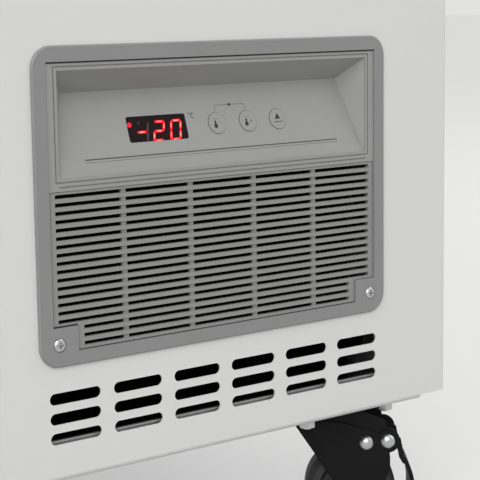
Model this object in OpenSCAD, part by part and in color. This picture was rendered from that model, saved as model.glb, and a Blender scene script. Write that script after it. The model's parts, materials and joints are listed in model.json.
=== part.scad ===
// Chest-type island display freezer on casters, with two curved glass lids that slide
// over each other, and a control and grille bezel low at the right end of its front.
// Millimetres, +Z up, front towards -Y, origin on the floor under the middle of the part.

/* [Cabinet] */
// Length of the cabinet over its end panels
body_l = 1500; // [1400:10:1900]
// Depth of the cabinet from front panel to back panel
body_w = 760; // [740:10:900]
// Height of the cabinet walls above the floor
body_h = 800; // [780:5:880]
// Height of the base above the floor, which the casters fill
floor_gap = 100; // [96:1:120]
// Thickness of the painted sheet
sheet_t = 1; // [0.8:0.1:1.4]
// Outer radius of the bends at the upright corners and the lower hem
bend_r = 4; // [3:0.5:6]
// Width of the panels' turned edges
return_w = 18; // [14:1:24]
// Drop of the long panels' lower hem below the base, which hides the caster plates
hem_drop = 4; // [3:0.5:5]
// Distance from each corner at which the lower hem ends
hem_end = 25; // [20:1:40]
// Step up of the panel's edge past the end of the hem
hem_step = 3; // [2:0.5:3]
// Thickness of the insulated walls with both skins
wall_t = 60; // [55:1:70]
// Thickness of the insulated floor with both skins
floor_t = 66; // [60:1:80]

/* [Tank] */
// Radius of the tank's upright corners
tank_r = 20; // [12:1:40]
// Thickness of the tank's sheet
tank_t = 1; // [0.8:0.1:1.5]
// Width of the tank's flange on top of the wall
tank_flange = 16; // [10:1:20]
// Outer radius of the evaporator tube
coil_r = 4; // [3:0.5:5]
// Height of one step of the evaporator tube
coil_pitch = 44; // [40:1:48]

/* [Machine compartment] */
// Length of the machine compartment at the right end
comp_l = 356; // [350:1:400]
// Height of the machine compartment above the base
comp_h = 272; // [268:1:300]
// Thickness of the plate that carries the compressor
plate_t = 2; // [1.5:0.1:3]
// Height of that plate's turned-up front edge above the base
lip_h = 21; // [15:0.5:24]

/* [Bezel] */
// Width of the bezel
bezel_w = 280; // [270:1:290]
// Height of the bezel
bezel_h = 191; // [189:0.5:196]
// Distance from the bezel to the right end of the panel
bezel_side = 63.5; // [58:0.5:66]
// Height of the bezel above the base
bezel_low = 67; // [65:0.5:72]
// Radius of the bezel's corners
bezel_r = 13.5; // [12:0.5:20]
// Height of the bezel's front above the panel
bezel_proud = 2; // [1.5:0.5:3]
// Width of the bezel's rim
bezel_rim = 9.5; // [8:0.5:11]
// Width of the solid lower corners that hold the screws, measured from the bezel's side
boss_w = 27; // [24:0.5:32]
// Top of the lower corners, measured down from the bezel's top
boss_top = 167; // [165:0.5:169]

/* [Control pod] */
// Height of the control pod
pod_h = 76.1; // [75:0.1:78]
// Depth of the control pod behind its front
pod_depth = 31; // [30:1:40]
// Tilt of the control face from upright
face_tilt = 18; // [14:0.5:20]
// Height of the control face, measured up its slope
face_h = 52; // [48:0.5:54]
// Width of the display window
window_w = 45; // [40:0.5:48]
// Height of the display window
window_h = 16.4; // [14:0.1:18]
// Distance from the bezel's left side to the display window
window_s = 73; // [65:0.5:80]
// Diameter of a button
button_d = 13.6; // [12:0.2:15]
// Distance between two buttons
button_pitch = 25.2; // [22:0.1:27]
// Distance from the bezel's left side to the first button
button_s = 142.3; // [135:0.1:150]
// Stroke of a button
button_stroke = 0.5; // [0.3:0.1:0.8]

/* [Grille] */
// Distance between two bars of the grille
bar_pitch = 5; // [4.9:0.02:5.02]
// Height of one gap between the bars
bar_gap = 2.4; // [2:0.1:3]
// Number of full rows of gaps
full_rows = 16; // [14:1:16]
// Number of short rows between the lower corners
short_rows = 3; // [1:1:3]
// Width of an upright rib
rib_w = 3.5; // [2.5:0.5:5]
// Depth of the grille below the front of the rim
grille_depth = 1.5; // [1:0.5:3]
// Thickness of the grille
grille_t = 3; // [2:0.5:4]
// Distance that the upright ribs stand back behind the bars
rib_back = 1; // [0.5:0.1:1.5]

/* [Vents] */
// Distance between two columns of vents
vent_pitch_x = 46.1; // [43:0.1:47]
// Distance between two rows of vents
vent_pitch_z = 12.3; // [11:0.1:13]
// Width of a vent
vent_w = 36.5; // [30:0.5:38]
// Height of a vent
vent_h = 7.2; // [6:0.2:8]
// Distance from the bezel down to the middle of the first row
vent_drop = 19.4; // [18:0.2:22]

/* [Top frame and lids] */
// Distance that the top frame stands out over the panels
overhang = 12; // [10:1:16]
// Height of the frame's bumper above the walls
bumper_h = 50; // [46:1:56]
// Height of the frame's skirt below the top of the walls
skirt_h = 30; // [20:1:40]
// Rise of the upper lid's arch
arch_upper = 66; // [64:0.5:72]
// Rise of the lower lid's arch
arch_lower = 56; // [50:0.5:56]
// Thickness of the lid glass
glass_t = 4; // [3:0.5:4]
// Thickness of the lid frame above and below the middle of the glass
lid_half = 5; // [4.5:0.1:5.5]
// Width of the lid frame's arched end bars
bar_w = 24; // [20:1:30]
// Distance by which the closed lids overlap
lid_overlap = 30; // [26:1:40]
// Height of the lid handles
handle_h = 10; // [8:0.5:10]
// Length of the lid handles along the arch
handle_l = 300; // [200:10:360]

/* [Casters] */
// Diameter of a wheel
wheel_d = 65; // [60:1:68]
// Width of a wheel
wheel_w = 30; // [24:1:32]
// Distance from the swivel to the wheel's axle
trail = 27; // [24:1:30]
// Side of the caster's square plate
caster_plate = 90; // [86:1:96]
// Distance between the bolts of a caster's plate
bolt_pitch = 74; // [68:1:78]
// Distance from the end of the cabinet to the swivel
caster_x = 86; // [84:1:95]
// Distance of the caster's plate behind the bend of the panel's hem
caster_in = 1; // [0.5:0.5:20]
// Radius of the axle
axle_r = 4; // [3.5:0.5:5]

/* [Fan and condenser] */
// Diameter of the fan blade
fan_d = 150; // [130:2:156]
// Number of fan blades
blades = 5; // [4:1:7]
// Length of the condenser
condenser_l = 250; // [230:5:260]
// Height of the condenser
condenser_h = 168; // [160:4:176]
// Depth of the condenser
condenser_w = 38; // [30:2:44]
// Number of fins on the condenser
fins = 26; // [10:1:30]

/* [Hidden] */
$fn = 48;

// Small lengths used over and over
eps = 0.01;
gap = 0.3;
tiny_gap = 0.2;
running = 0.05;

// Places of the cabinet's outer faces
half_l = body_l / 2;
half_w = body_w / 2;
z0 = floor_gap;
hem_z = z0 - hem_drop;
z1 = body_h;

// Tank
tank_x = half_l - wall_t;
tank_y = half_w - wall_t;
tank_z = z0 + floor_t;
comp_x = half_l - comp_l;
step_x = comp_x - wall_t;
step_z = z0 + comp_h + wall_t;
tank_top = z1 - tank_t;
coil_low = step_z + 34;
coil_runs = 6;
coil_bend = coil_pitch / 2;
coil_y = tank_y + gap + coil_r + gap;
pocket_d = 2 * coil_r + 3 * gap;
pocket_low = coil_low - coil_bend + 2 - gap;
pocket_high = coil_low + (coil_runs - 1) * coil_pitch + coil_r + 6;
coil_end = 600;
coil_tail_z = z0 + comp_h - 16;

// Bezel
bezel_x = half_l - bezel_side - bezel_w;
bezel_top = z0 + bezel_low + bezel_h;
lap = 8;
open_low = bezel_h - 8.7;
pod_s = bezel_rim + gap / 2;
pod_v = bezel_rim + gap / 2;
pod_front = -bezel_proud + 1;
pod_back = pod_front + pod_depth;
recess_side = 7.5;
recess_draft = 12.5;
recess_front_y = -bezel_proud + 2;
face_low_v = pod_v + pod_h - 7.5;
face_top_v = face_low_v - face_h * cos(face_tilt);
face_top_y = recess_front_y + face_h * sin(face_tilt);
ceiling_v = pod_v + 5;
wall_pod = 2.6;

// Grille, its rows counted down from the pod
grille_v = pod_v + pod_h + gap;
first_row_v = grille_v + 1.5;
slot_side = 14;
columns = 5;
rib_pitch = (bezel_w - 2 * slot_side + rib_w) / columns;

// Vents
vent_cols = 6;
vent_rows = 3;
vent_x = bezel_x + bezel_w / 2 - (vent_cols - 1) * vent_pitch_x / 2;
vent_z = z0 + bezel_low - vent_drop;

// Top frame, with u counted inwards from the outer face of the frame
frame_y = half_w + overhang;
frame_x = half_l + overhang;
rail_in = overhang + wall_t + 5;
rail_x = frame_x - rail_in;
groove_w = 18;
groove_u_upper = 20;
groove_u_lower = 41;
groove_z_upper = z1 + 28;
groove_z_lower = z1 + 14;
lip_z = z1 + 20;
groove_rim = z1 + 34;
bumper_r = 10;

// Lids: each arch springs from the middle of its groove
arch_fn = 360;
runner_w = groove_w - 2;
runner_h = 16;
half_upper = frame_y - groove_u_upper - groove_w / 2;
half_lower = frame_y - groove_u_lower - groove_w / 2;
spring_upper = groove_z_upper + 10;
spring_lower = groove_z_lower + 10;
function arch_radius(half, rise) = (half * half + rise * rise) / (2 * rise);
r_upper = arch_radius(half_upper, arch_upper);
r_lower = arch_radius(half_lower, arch_lower);
c_upper = spring_upper + arch_upper - r_upper;
c_lower = spring_lower + arch_lower - r_lower;
lid_l = rail_x + lid_overlap / 2 - 1;
upper_x0 = -rail_x + 1;
lower_x0 = rail_x - 1 - lid_l;
glass_in = 12;

// End frames
arch_over = 14;
end_wall = 4;

// Casters
caster_z = z0;
swivel_x = half_l - caster_x;
swivel_y = half_w - bend_r - caster_in - caster_plate / 2;
plate_c_t = 3;
race_r = 27;
race_h = 5;
pin_r = 6;
fork_t = 3;
fork_top = caster_z - plate_c_t - race_h - gap;
fork_top_t = 4;
fork_in = wheel_w / 2 + 3.2;
wheel_z = wheel_d / 2;
brake_x = 52.8;
brake_z = caster_z - 29.7;
band_r = wheel_d / 2 + 10.5;
dome_x = 37.6;
dome_z = caster_z - 30.7;
dome_r = 4.7;
press_step = 1.2;
// Reach of the fork's upper corners around its swivel, where they pass the nuts and the rail
corner_low = [51.6, caster_z - 15];
corner_high = [35, fork_top];
swing_r = norm([corner_low[0], fork_in + fork_t]);
swing_gap = 1;
front_right_turn = -38.5;

// Machine compartment
deck_z = z0 + sheet_t + plate_t;
fan_x = comp_x + 165;
fan_z = deck_z + 92;
condenser_y = -half_w + 34;
condenser_z = deck_z + gap;
shroud_y = condenser_y + condenser_w + gap;
shroud_t = 2;
shaft_r = 3;
motor_y = shroud_y + 62;
compressor_x = comp_x + 120;
compressor_y = 150;
compressor_r = 78;
compressor_z = deck_z + 14;
pipe_r = 3;
pipe_bend = 12;
pipe_side = 15;
tail_bend = 8;
shell_h = 178;
drier_h = 100;

// Drain
drain_x = -half_l + 180;
drain_y = -half_w + 150;
drain_r = 10;
drain_wall = 2.5;
drain_out = 25;

// Flat grids
wire = 4;
grid_foot = 8;

// Basic shapes

// Rounded rectangle with its lower left corner at the origin
module rounded_rect(w, h, r) {
    translate([r, 0]) square([w - 2 * r, h]);
    translate([0, r]) square([w, h - 2 * r]);
    for (x = [r, w - r], y = [r, h - r])
        translate([x, y]) circle(r);
}

// Rounded rectangle with its middle at the origin
module rounded_mid(w, h, r)
    translate([-w / 2, -h / 2]) rounded_rect(w, h, r);

// Stadium with its middle at the origin
module stadium(w, h) {
    square([w - h, h], center = true);
    for (s = [-1, 1]) translate([s * (w - h) / 2, 0]) circle(h / 2);
}

// A shape drawn in the front view, made solid from depth a to depth b
module front_plate(a, b)
    translate([0, b, 0]) rotate([90, 0, 0]) linear_extrude(b - a) children();

// A shape drawn across the part, in depth and height, made solid from a to b along the length
module along_x(a, b)
    translate([a, 0, 0]) rotate([90, 0, 90]) linear_extrude(b - a) children();

// A flat shape in plan, made solid from height a to height b
module upright(a, b)
    translate([0, 0, a]) linear_extrude(b - a) children();

// A quarter of a bent sheet: its outer corner lies towards +x and +y
module bend(r, t) {
    intersection() {
        difference() {
            circle(r);
            circle(r - t);
        }
        square(r + 1);
    }
}

// Arched band in depth and height, between the radii r + low and r + high and out to half
module arch_band(r, centre_z, half, low, high) {
    intersection() {
        translate([0, centre_z]) difference() {
            circle(r + high, $fn = arch_fn);
            circle(r + low, $fn = arch_fn);
        }
        translate([-half, z1]) square([2 * half, 4 * bumper_h]);
    }
}

// Right-angled bend of a tube at p, from direction u to direction v
module elbow(p, u, v, r, bend_radius) {
    w = cross(-v, u);
    c = p - u * bend_radius + v * bend_radius;
    multmatrix([
        [-v[0], u[0], w[0], c[0]],
        [-v[1], u[1], w[1], c[1]],
        [-v[2], u[2], w[2], c[2]],
        [0, 0, 0, 1]
    ]) rotate_extrude(angle = 90) translate([bend_radius, 0]) circle(r);
}

// Straight tube from a to b, which lie along one of the axes
module straight(a, b, r) {
    d = b - a;
    turn = abs(d[0]) > eps ? [0, 90, 0] : abs(d[1]) > eps ? [-90, 0, 0] : [0, 0, 0];
    low = [min(a[0], b[0]), min(a[1], b[1]), min(a[2], b[2])];
    translate(low) rotate(turn) cylinder(r = r, h = norm(d));
}

// Tube along points that turn only at right angles
module tube_run(points, r, bend_radius) {
    n = len(points);
    function dir(i) = (points[i + 1] - points[i]) / norm(points[i + 1] - points[i]);
    for (i = [0 : n - 2]) {
        a = i == 0 ? points[0] : points[i] + dir(i) * bend_radius;
        b = i == n - 2 ? points[n - 1] : points[i + 1] - dir(i) * bend_radius;
        straight(a, b, r);
    }
    for (i = [1 : n - 2])
        elbow(points[i], dir(i - 1), dir(i), r, bend_radius);
}

// Cabinet

// Section of a long panel, in depth and height, with its lower hem
module panel_section() {
    translate([-half_w, hem_z + bend_r]) square([sheet_t, z1 - hem_z - bend_r]);
    translate([-half_w + bend_r, hem_z + bend_r]) rotate(180) bend(bend_r, sheet_t);
    translate([-half_w + bend_r, hem_z]) square([return_w - bend_r, sheet_t]);
}

// Section of a long panel's right end, in plan, with its turned edge
module panel_end() {
    translate([half_l - hem_end, -half_w]) square([hem_end - bend_r, sheet_t]);
    translate([half_l - bend_r, -half_w + bend_r]) rotate(-90) bend(bend_r, sheet_t);
    translate([half_l - sheet_t, -half_w + bend_r]) square([sheet_t, return_w - bend_r]);
}

// Long panel at the front, its lower return notched for the casters
module long_panel() {
    notch = caster_plate + 2;
    difference() {
        along_x(-half_l + hem_end, half_l - hem_end) panel_section();
        for (side = [-1, 1])
            translate([side * swivel_x - notch / 2, -half_w + bend_r + gap, hem_z - 1])
                cube([notch, return_w, sheet_t + 2]);
    }
    for (side = [0, 1]) mirror([side, 0, 0])
        upright(hem_z + hem_step, z1) panel_end();
}

module front_panel() {
    color([0.83, 0.83, 0.83])
    difference() {
        long_panel();
        front_plate(-half_w - 1, -half_w + bend_r + 1) {
            translate([bezel_x + lap, bezel_top - bezel_h + lap])
                rounded_rect(bezel_w - 2 * lap, bezel_h - 2 * lap, bezel_r - lap);
            for (i = [0 : vent_cols - 1], j = [0 : vent_rows - 1])
                translate([vent_x + i * vent_pitch_x, vent_z - j * vent_pitch_z])
                    stadium(vent_w, vent_h);
        }
    }
}

// Opening of the rear grille, centred on the machine compartment
rear_w = 270;
rear_h = 150;
rear_x = comp_x + 190;
rear_z = z0 + 150;
rear_lap = 10;
inlet_x = comp_x + 34;
inlet_z = z0 + 60;
inlet_w = 28;
inlet_h = 22;

module back_panel() {
    color([0.80, 0.80, 0.80])
    difference() {
        mirror([0, 1, 0]) long_panel();
        front_plate(half_w - bend_r - 1, half_w + 1) {
            translate([rear_x, rear_z])
                rounded_mid(rear_w - 2 * rear_lap, rear_h - 2 * rear_lap, 4);
            translate([inlet_x, inlet_z]) square([inlet_w, inlet_h], center = true);
        }
    }
}

// Flat panel at the right end, between the turned edges of the long panels
module end_panel() {
    seam = 0.5;
    translate([half_l - sheet_t, -half_w + return_w + seam, hem_z + hem_step])
        cube([sheet_t, body_w - 2 * (return_w + seam), z1 - hem_z - hem_step]);
}

module left_end_panel()
    color([0.82, 0.82, 0.82]) mirror([1, 0, 0]) end_panel();

module right_end_panel()
    color([0.82, 0.82, 0.82]) end_panel();

// Rectangle in plan from x = a to x = b, inside the bends of the long panels
module plan_inside(a, b)
    translate([a, -half_w + bend_r]) square([b - a, body_w - 2 * bend_r]);

module base_pan() {
    color([0.62, 0.64, 0.66])
    difference() {
        upright(z0 + sheet_t, z0 + 2 * sheet_t) plan_inside(-half_l + sheet_t, comp_x);
        translate([drain_x, drain_y, z0]) cylinder(r = drain_r + drain_wall + gap, h = 4 * sheet_t);
    }
}

// Plate under the machine compartment, with a turned-up front edge that shows in the vents
module compressor_base_plate()
    color([0.62, 0.64, 0.66]) {
        upright(z0 + sheet_t, deck_z) plan_inside(comp_x, half_l - sheet_t);
        translate([comp_x + sheet_t + gap, -half_w + bend_r, z0 + sheet_t])
            cube([half_l - return_w - comp_x - 2 * sheet_t, plate_t, lip_h - sheet_t]);
    }

// Cross rail between the casters at the right end, with the plate that carries their bolts
module cross_rail() {
    rail_w = 50;
    rail_d = 14;
    inner_y = half_w - bend_r - gap;
    reach = swivel_y - swing_r - swing_gap;
    plate_x = swivel_x - caster_plate / 2;
    translate([plate_x, -inner_y, z0])
        cube([caster_plate, 2 * inner_y, sheet_t]);
    translate([swivel_x - rail_w / 2, -reach, z0 - rail_d])
        difference() {
            cube([rail_w, 2 * reach, rail_d]);
            translate([2, -1, 2]) cube([rail_w - 4, 2 * reach + 2, rail_d - 2]);
        }
}

module chassis_rails() {
    color([0.62, 0.64, 0.66])
    for (side = [0, 1]) mirror([side, 0, 0]) cross_rail();
}

module compartment_sheet() {
    color([0.66, 0.68, 0.70])
    difference() {
        compartment_walls();
        coil_tail_holes(coil_r + gap);
    }
}

// Wall and ceiling of the machine compartment
module compartment_walls() {
    inside_w = body_w - 2 * bend_r;
    translate([comp_x, -inside_w / 2, deck_z])
        cube([sheet_t, inside_w, z0 + comp_h - deck_z]);
    translate([comp_x, -inside_w / 2, z0 + comp_h - sheet_t])
        cube([comp_l - sheet_t, inside_w, sheet_t]);
}

// Holes through which the two tails of the evaporator come down
module coil_tail_holes(r)
    for (y = [-coil_y, coil_y])
        translate([coil_end, y, coil_tail_z - 1])
            cylinder(r = r, h = coil_low - coil_tail_z);

// Plan of the tank, grown by g
module tank_plan(a, b, g)
    translate([a - g, -tank_y - g])
        rounded_rect(b - a + 2 * g, 2 * tank_y + 2 * g, tank_r + g);

// Space of the tank with its step, grown by g, from its floor to height top
module tank_space(g, top) {
    upright(tank_z - g, top) tank_plan(-tank_x, step_x, g);
    upright(step_z - g, top) tank_plan(-tank_x, tank_x, g);
}

// Space in the foam for the evaporator, concentric with the bends of its tube
module coil_pocket()
    upright(pocket_low, pocket_high)
        translate([-tank_x - pocket_d, -tank_y - pocket_d])
            rounded_rect(2 * (tank_x + pocket_d), 2 * (tank_y + pocket_d),
                coil_bend - 2 + coil_r + gap);

// Board of foam between two heights, over a rectangle from x = a to b and y = c to d, kept
// inside the rounded corners of the shell
module foam_board(low, high, a, b, c, d)
    upright(low, high) intersection() {
        rounded_mid(2 * (half_l - sheet_t), 2 * (half_w - sheet_t), bend_r - sheet_t);
        translate([a, c]) square([b - a, d - c]);
    }

// Long walls on the front and back, each in two boards, and the two end walls
module foam_walls() {
    low = z0 + bend_r;
    comp_top = z0 + comp_h;
    end_x = tank_x + gap;
    side_y = tank_y + gap;
    foam_board(low, tank_top, -half_l, -end_x, -half_w, half_w);
    foam_board(comp_top, tank_top, end_x, half_l, -half_w, half_w);
    for (side = [0, 1]) mirror([0, side, 0]) {
        foam_board(low, tank_top, -end_x + gap, comp_x - gap, -half_w, -side_y);
        foam_board(comp_top, tank_top, comp_x, end_x - gap, -half_w, -side_y);
    }
}

// Floor in four boards round the drain, and the two boards of the step
module foam_floor() {
    pan_top = z0 + 2 * sheet_t;
    top = tank_z - gap;
    side_y = tank_y;
    hole = drain_r + drain_wall + gap;
    foam_board(pan_top, top, -tank_x, drain_x - hole, -side_y, side_y);
    foam_board(pan_top, top, drain_x + hole, comp_x - gap, -side_y, side_y);
    foam_board(pan_top, top, drain_x - hole + gap, drain_x + hole - gap,
        -side_y, drain_y - hole);
    foam_board(pan_top, top, drain_x - hole + gap, drain_x + hole - gap,
        drain_y + hole, side_y);
    foam_board(tank_z, step_z - gap, step_x + gap, comp_x - gap, -side_y, side_y);
    foam_board(z0 + comp_h, step_z - gap, comp_x, tank_x, -side_y, side_y);
}

// Insulation in boards that meet at thin joints
module foam_insulation() {
    color([0.93, 0.88, 0.70])
    difference() {
        union() {
            foam_walls();
            foam_floor();
        }
        coil_pocket();
        coil_tail_holes(coil_r + 3 * gap);
    }
}

module inner_tank() {
    color([0.90, 0.91, 0.92])
    difference() {
        union() {
            tank_space(0, tank_top + tank_t);
            upright(tank_top, z1)
                tank_plan(-tank_x, tank_x, tank_flange);
        }
        tank_space(-tank_t, z1 + 1);
        translate([drain_x, drain_y, z0])
            cylinder(r = drain_r + drain_wall + gap, h = floor_t + 3);
    }
}

// Evaporator: a tube that runs to and fro outside the front and back walls of the tank
function run_z(i) = coil_low + i * coil_pitch;
function run_x(i) = i % 2 == 0 ? coil_end : -coil_end;
function coil_back() = [for (i = [0 : coil_runs - 1], k = [0, 1])
    [k == 0 ? run_x(i) : run_x(i + 1), coil_y, run_z(i)]];
function coil_front() = [for (i = [coil_runs - 1 : -1 : 0], k = [0, 1])
    [k == 0 ? run_x(i + 1) : run_x(i), -coil_y, run_z(i)]];
coil_link = tank_x + gap + coil_r + gap;
function coil_points() = concat(
    [[coil_end, coil_y, coil_tail_z]],
    [for (i = [0 : 2 * coil_runs - 2]) coil_back()[i]],
    [[coil_link, coil_y, run_z(coil_runs - 1)], [coil_link, -coil_y, run_z(coil_runs - 1)]],
    [for (i = [1 : 2 * coil_runs - 1]) coil_front()[i]],
    [[coil_end, -coil_y, coil_tail_z]]
);

module evaporator_coil()
    color([0.72, 0.45, 0.30]) tube_run(coil_points(), coil_r, coil_bend - 2);

// Top frame

// Section of the front rail: u inwards from its outer face, h up from the top of the walls
module rail_section() {
    upper_end = groove_u_upper + groove_w;
    lower_end = groove_u_lower + groove_w;
    hook_u = frame_y - tank_y + tank_t + gap;
    upper_h = groove_z_upper - z1;
    lower_h = groove_z_lower - z1;
    translate([-frame_y, z1]) difference() {
        union() {
            polygon([
                [0, -skirt_h], [overhang, -skirt_h], [overhang, 0], [hook_u, 0], [hook_u, -14],
                [rail_in, -14], [rail_in, 8], [lower_end + 6, lip_z - z1],
                [lower_end, lip_z - z1], [lower_end, lower_h], [groove_u_lower, lower_h],
                [groove_u_lower, groove_rim - z1], [upper_end, groove_rim - z1],
                [upper_end, upper_h], [groove_u_upper, upper_h], [groove_u_upper, bumper_h],
                [bumper_r, bumper_h], [bumper_r, bumper_h - bumper_r], [0, bumper_h - bumper_r]
            ]);
            translate([bumper_r, bumper_h - bumper_r]) circle(bumper_r);
        }
        translate([3, 4]) square([groove_u_upper - 6, bumper_h - bumper_r - 6]);
        translate([groove_u_upper + 1, 4]) square([groove_w - 2, upper_h - 7]);
        translate([groove_u_lower, 3]) square([groove_w - 2, lower_h - 6]);
    }
}

// Rail whose hook inside the tank ends before the tank's rounded corners
module front_rail_body() {
    hook_end = tank_x - tank_r - 1;
    difference() {
        along_x(-rail_x, rail_x) rail_section();
        for (side = [0, 1]) mirror([side, 0, 0])
            translate([hook_end, -tank_y - 1, z1 - 15])
                cube([rail_x, rail_in, 15 + tiny_gap]);
    }
}

module front_rail()
    color([0.55, 0.56, 0.57]) front_rail_body();

module back_rail()
    color([0.55, 0.56, 0.57]) mirror([0, 1, 0]) front_rail_body();

// Outline of an end frame, taken in by t, in depth and height
module end_outline(t) {
    intersection() {
        translate([-frame_y + t, z1 - skirt_h])
            square([2 * (frame_y - t), skirt_h + bumper_h + 2 * arch_upper]);
        translate([0, c_upper]) circle(r_upper + arch_over - t, $fn = arch_fn);
    }
    for (s = [-1, 1]) {
        translate([s * (frame_y - bumper_r), z1 + bumper_h - bumper_r]) circle(bumper_r - t);
        translate([s * (frame_y - bumper_r) - bumper_r + t, z1 - skirt_h])
            square([2 * (bumper_r - t), skirt_h + bumper_h - bumper_r]);
    }
}

// Hollow end frame at the right end, open below where it sits on the wall
module end_frame() {
    color([0.55, 0.56, 0.57])
    difference() {
        along_x(rail_x, frame_x) end_outline(0);
        along_x(rail_x + end_wall, frame_x - end_wall) intersection() {
            end_outline(end_wall);
            translate([-frame_y, z1]) square([2 * frame_y, bumper_h + 2 * arch_upper]);
        }
        translate([0, 0, z1 - skirt_h - 1]) linear_extrude(skirt_h + 1)
            square([2 * half_l, body_w], center = true);
    }
}

module left_end_frame() mirror([1, 0, 0]) end_frame();
module right_end_frame() end_frame();

// Lids

// Glass of a lid from x = a to x = b, grown by g
module lid_glass(a, b, r, centre_z, half, g)
    along_x(a - g, b + g)
        arch_band(r, centre_z, half + g, -glass_t / 2 - g, glass_t / 2 + g);

// Frame of a lid: two runners and two arched end bars, slotted for the glass
module lid_frame(a, r, centre_z, half, low) {
    color([0.30, 0.31, 0.32])
    difference() {
        union() {
            for (s = [-1, 1])
                translate([a, s * half - runner_w / 2, low + 0.5])
                    cube([lid_l, runner_w, runner_h]);
            for (x = [a, a + lid_l - bar_w])
                along_x(x, x + bar_w) arch_band(r, centre_z, half - 2, -lid_half, lid_half);
        }
        lid_glass(a + bar_w - glass_in, a + lid_l - bar_w + glass_in, r, centre_z, half - 2, gap);
    }
}

// Handle of a lid: an upright wall along the arch, its outer side at x = a, with a lip that
// reaches over the glass in the direction side
module lid_handle(a, side, r, centre_z) {
    lip_w = 15;
    lip_t = 3;
    top = lid_half + handle_h;
    color([0.20, 0.20, 0.21]) {
        along_x(min(a, a + side * lip_t), max(a, a + side * lip_t))
            arch_band(r, centre_z, handle_l / 2, lid_half, top);
        along_x(min(a, a + side * lip_w), max(a, a + side * lip_w))
            arch_band(r, centre_z, handle_l / 2, top - lip_t, top);
    }
}

module lid_glass_upper()
    color([0.75, 0.85, 0.85, 0.4])
        lid_glass(upper_x0 + bar_w - glass_in, upper_x0 + lid_l - bar_w + glass_in,
            r_upper, c_upper, half_upper - 2, 0);

module lid_glass_lower()
    color([0.75, 0.85, 0.85, 0.4])
        lid_glass(lower_x0 + bar_w - glass_in, lower_x0 + lid_l - bar_w + glass_in,
            r_lower, c_lower, half_lower - 2, 0);

module lid_frame_upper() lid_frame(upper_x0, r_upper, c_upper, half_upper, groove_z_upper);
module lid_frame_lower() lid_frame(lower_x0, r_lower, c_lower, half_lower, groove_z_lower);
module lid_handle_upper() lid_handle(upper_x0 + bar_w - 3, 1, r_upper, c_upper);
module lid_handle_lower() lid_handle(lower_x0 + lid_l - bar_w + 3, -1, r_lower, c_lower);

// Bezel, drawn from its upper left corner: x to the right, -z down, y = 0 at the panel's face

module at_bezel()
    translate([bezel_x, -half_w, bezel_top]) children();

// Rectangle by its distances from the left and from the top, down to right and low
module from_top(left, top, right, low)
    translate([left, -low]) square([right - left, low - top]);

// Outline of the opening in the bezel, taken in by t: square lower corners stay solid
module bezel_opening(t) {
    from_top(bezel_rim + t, bezel_rim + t, bezel_w - bezel_rim - t, boss_top - t);
    from_top(boss_w + t, boss_top - t - 1, bezel_w - boss_w - t, open_low - t);
}

// Rounded outline of the bezel, taken in by t
module bezel_outline(t)
    translate([t, -bezel_h + t])
        rounded_rect(bezel_w - 2 * t, bezel_h - 2 * t, max(bezel_r - t, 1), $fn = 32);

screw_s = 13.6;
screw_v = bezel_h - 13.6;
screw_head_r = 4;
screw_shank_r = 2;
screw_seat = 1.4;

bezel_edge = 0.8;
module bezel_frame() {
    collar = lap + gap;
    color([0.53, 0.53, 0.53])
    at_bezel() difference() {
        union() {
            hull() {
                front_plate(-bezel_proud + bezel_edge, 0) bezel_outline(0);
                front_plate(-bezel_proud, 0) bezel_outline(bezel_edge);
            }
            front_plate(-eps, sheet_t + 4)
                translate([collar, -bezel_h + collar])
                    rounded_rect(bezel_w - 2 * collar, bezel_h - 2 * collar, bezel_r - lap);
        }
        front_plate(-bezel_proud - 1, sheet_t + 5) bezel_opening(0);
        for (s = [screw_s, bezel_w - screw_s])
            translate([s, -bezel_proud - 1, -screw_v]) rotate([-90, 0, 0]) {
                cylinder(r = screw_head_r + gap, h = 1 + screw_seat);
                cylinder(r = screw_shank_r + gap, h = bezel_proud + sheet_t + 8);
            }
    }
}

// Slots of one row of the grille, from left to right, between the distances a and b
module slot_row(v, a, b) {
    for (i = [0 : columns - 1]) {
        left = slot_side + i * rib_pitch;
        right = left + rib_pitch - rib_w;
        if (min(right, b) - max(left, a) > 4)
            from_top(max(left, a), v, min(right, b), v + bar_gap);
    }
}

module grille_insert() {
    front_y = -bezel_proud + grille_depth;
    short_s = boss_w + 5;
    color([0.57, 0.57, 0.56])
    at_bezel() difference() {
        front_plate(front_y, front_y + grille_t) intersection() {
            bezel_opening(gap);
            from_top(0, grille_v, bezel_w, bezel_h);
        }
        front_plate(front_y - 1, front_y + grille_t + 1) {
            for (i = [0 : full_rows - 1])
                slot_row(first_row_v + i * bar_pitch, slot_side, bezel_w - slot_side);
            for (i = [full_rows : full_rows + short_rows - 1])
                slot_row(first_row_v + i * bar_pitch, short_s, bezel_w - short_s);
        }
        front_plate(front_y - 1, front_y + rib_back)
            for (i = [0 : full_rows + short_rows - 1]) {
                v = first_row_v + i * bar_pitch;
                side = i < full_rows ? slot_side : short_s;
                from_top(side, v, bezel_w - side, v + bar_gap);
            }
    }
}

// Control pod

// Recess of the pod: a wedge with drafted sides whose back is the tilted control face
module pod_recess() {
    a = pod_s + recess_side;
    b = bezel_w - a;
    c = a + recess_draft;
    d = bezel_w - c;
    y = recess_front_y - 6;
    spread = 6 * tan(face_tilt);
    polyhedron(
        points = [
            [a, y, -ceiling_v], [b, y, -ceiling_v], [b, y, -face_low_v], [a, y, -face_low_v],
            [a, recess_front_y, -ceiling_v], [b, recess_front_y, -ceiling_v],
            [b, recess_front_y, -face_low_v], [a, recess_front_y, -face_low_v],
            [c, face_top_y, -face_top_v], [d, face_top_y, -face_top_v]
        ],
        faces = [
            [0, 1, 2, 3], [0, 4, 5, 1], [1, 5, 6, 2], [2, 6, 7, 3], [3, 7, 4, 0],
            [4, 8, 9, 5], [5, 9, 6], [7, 8, 4], [6, 9, 8, 7]
        ]
    );
}

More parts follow.
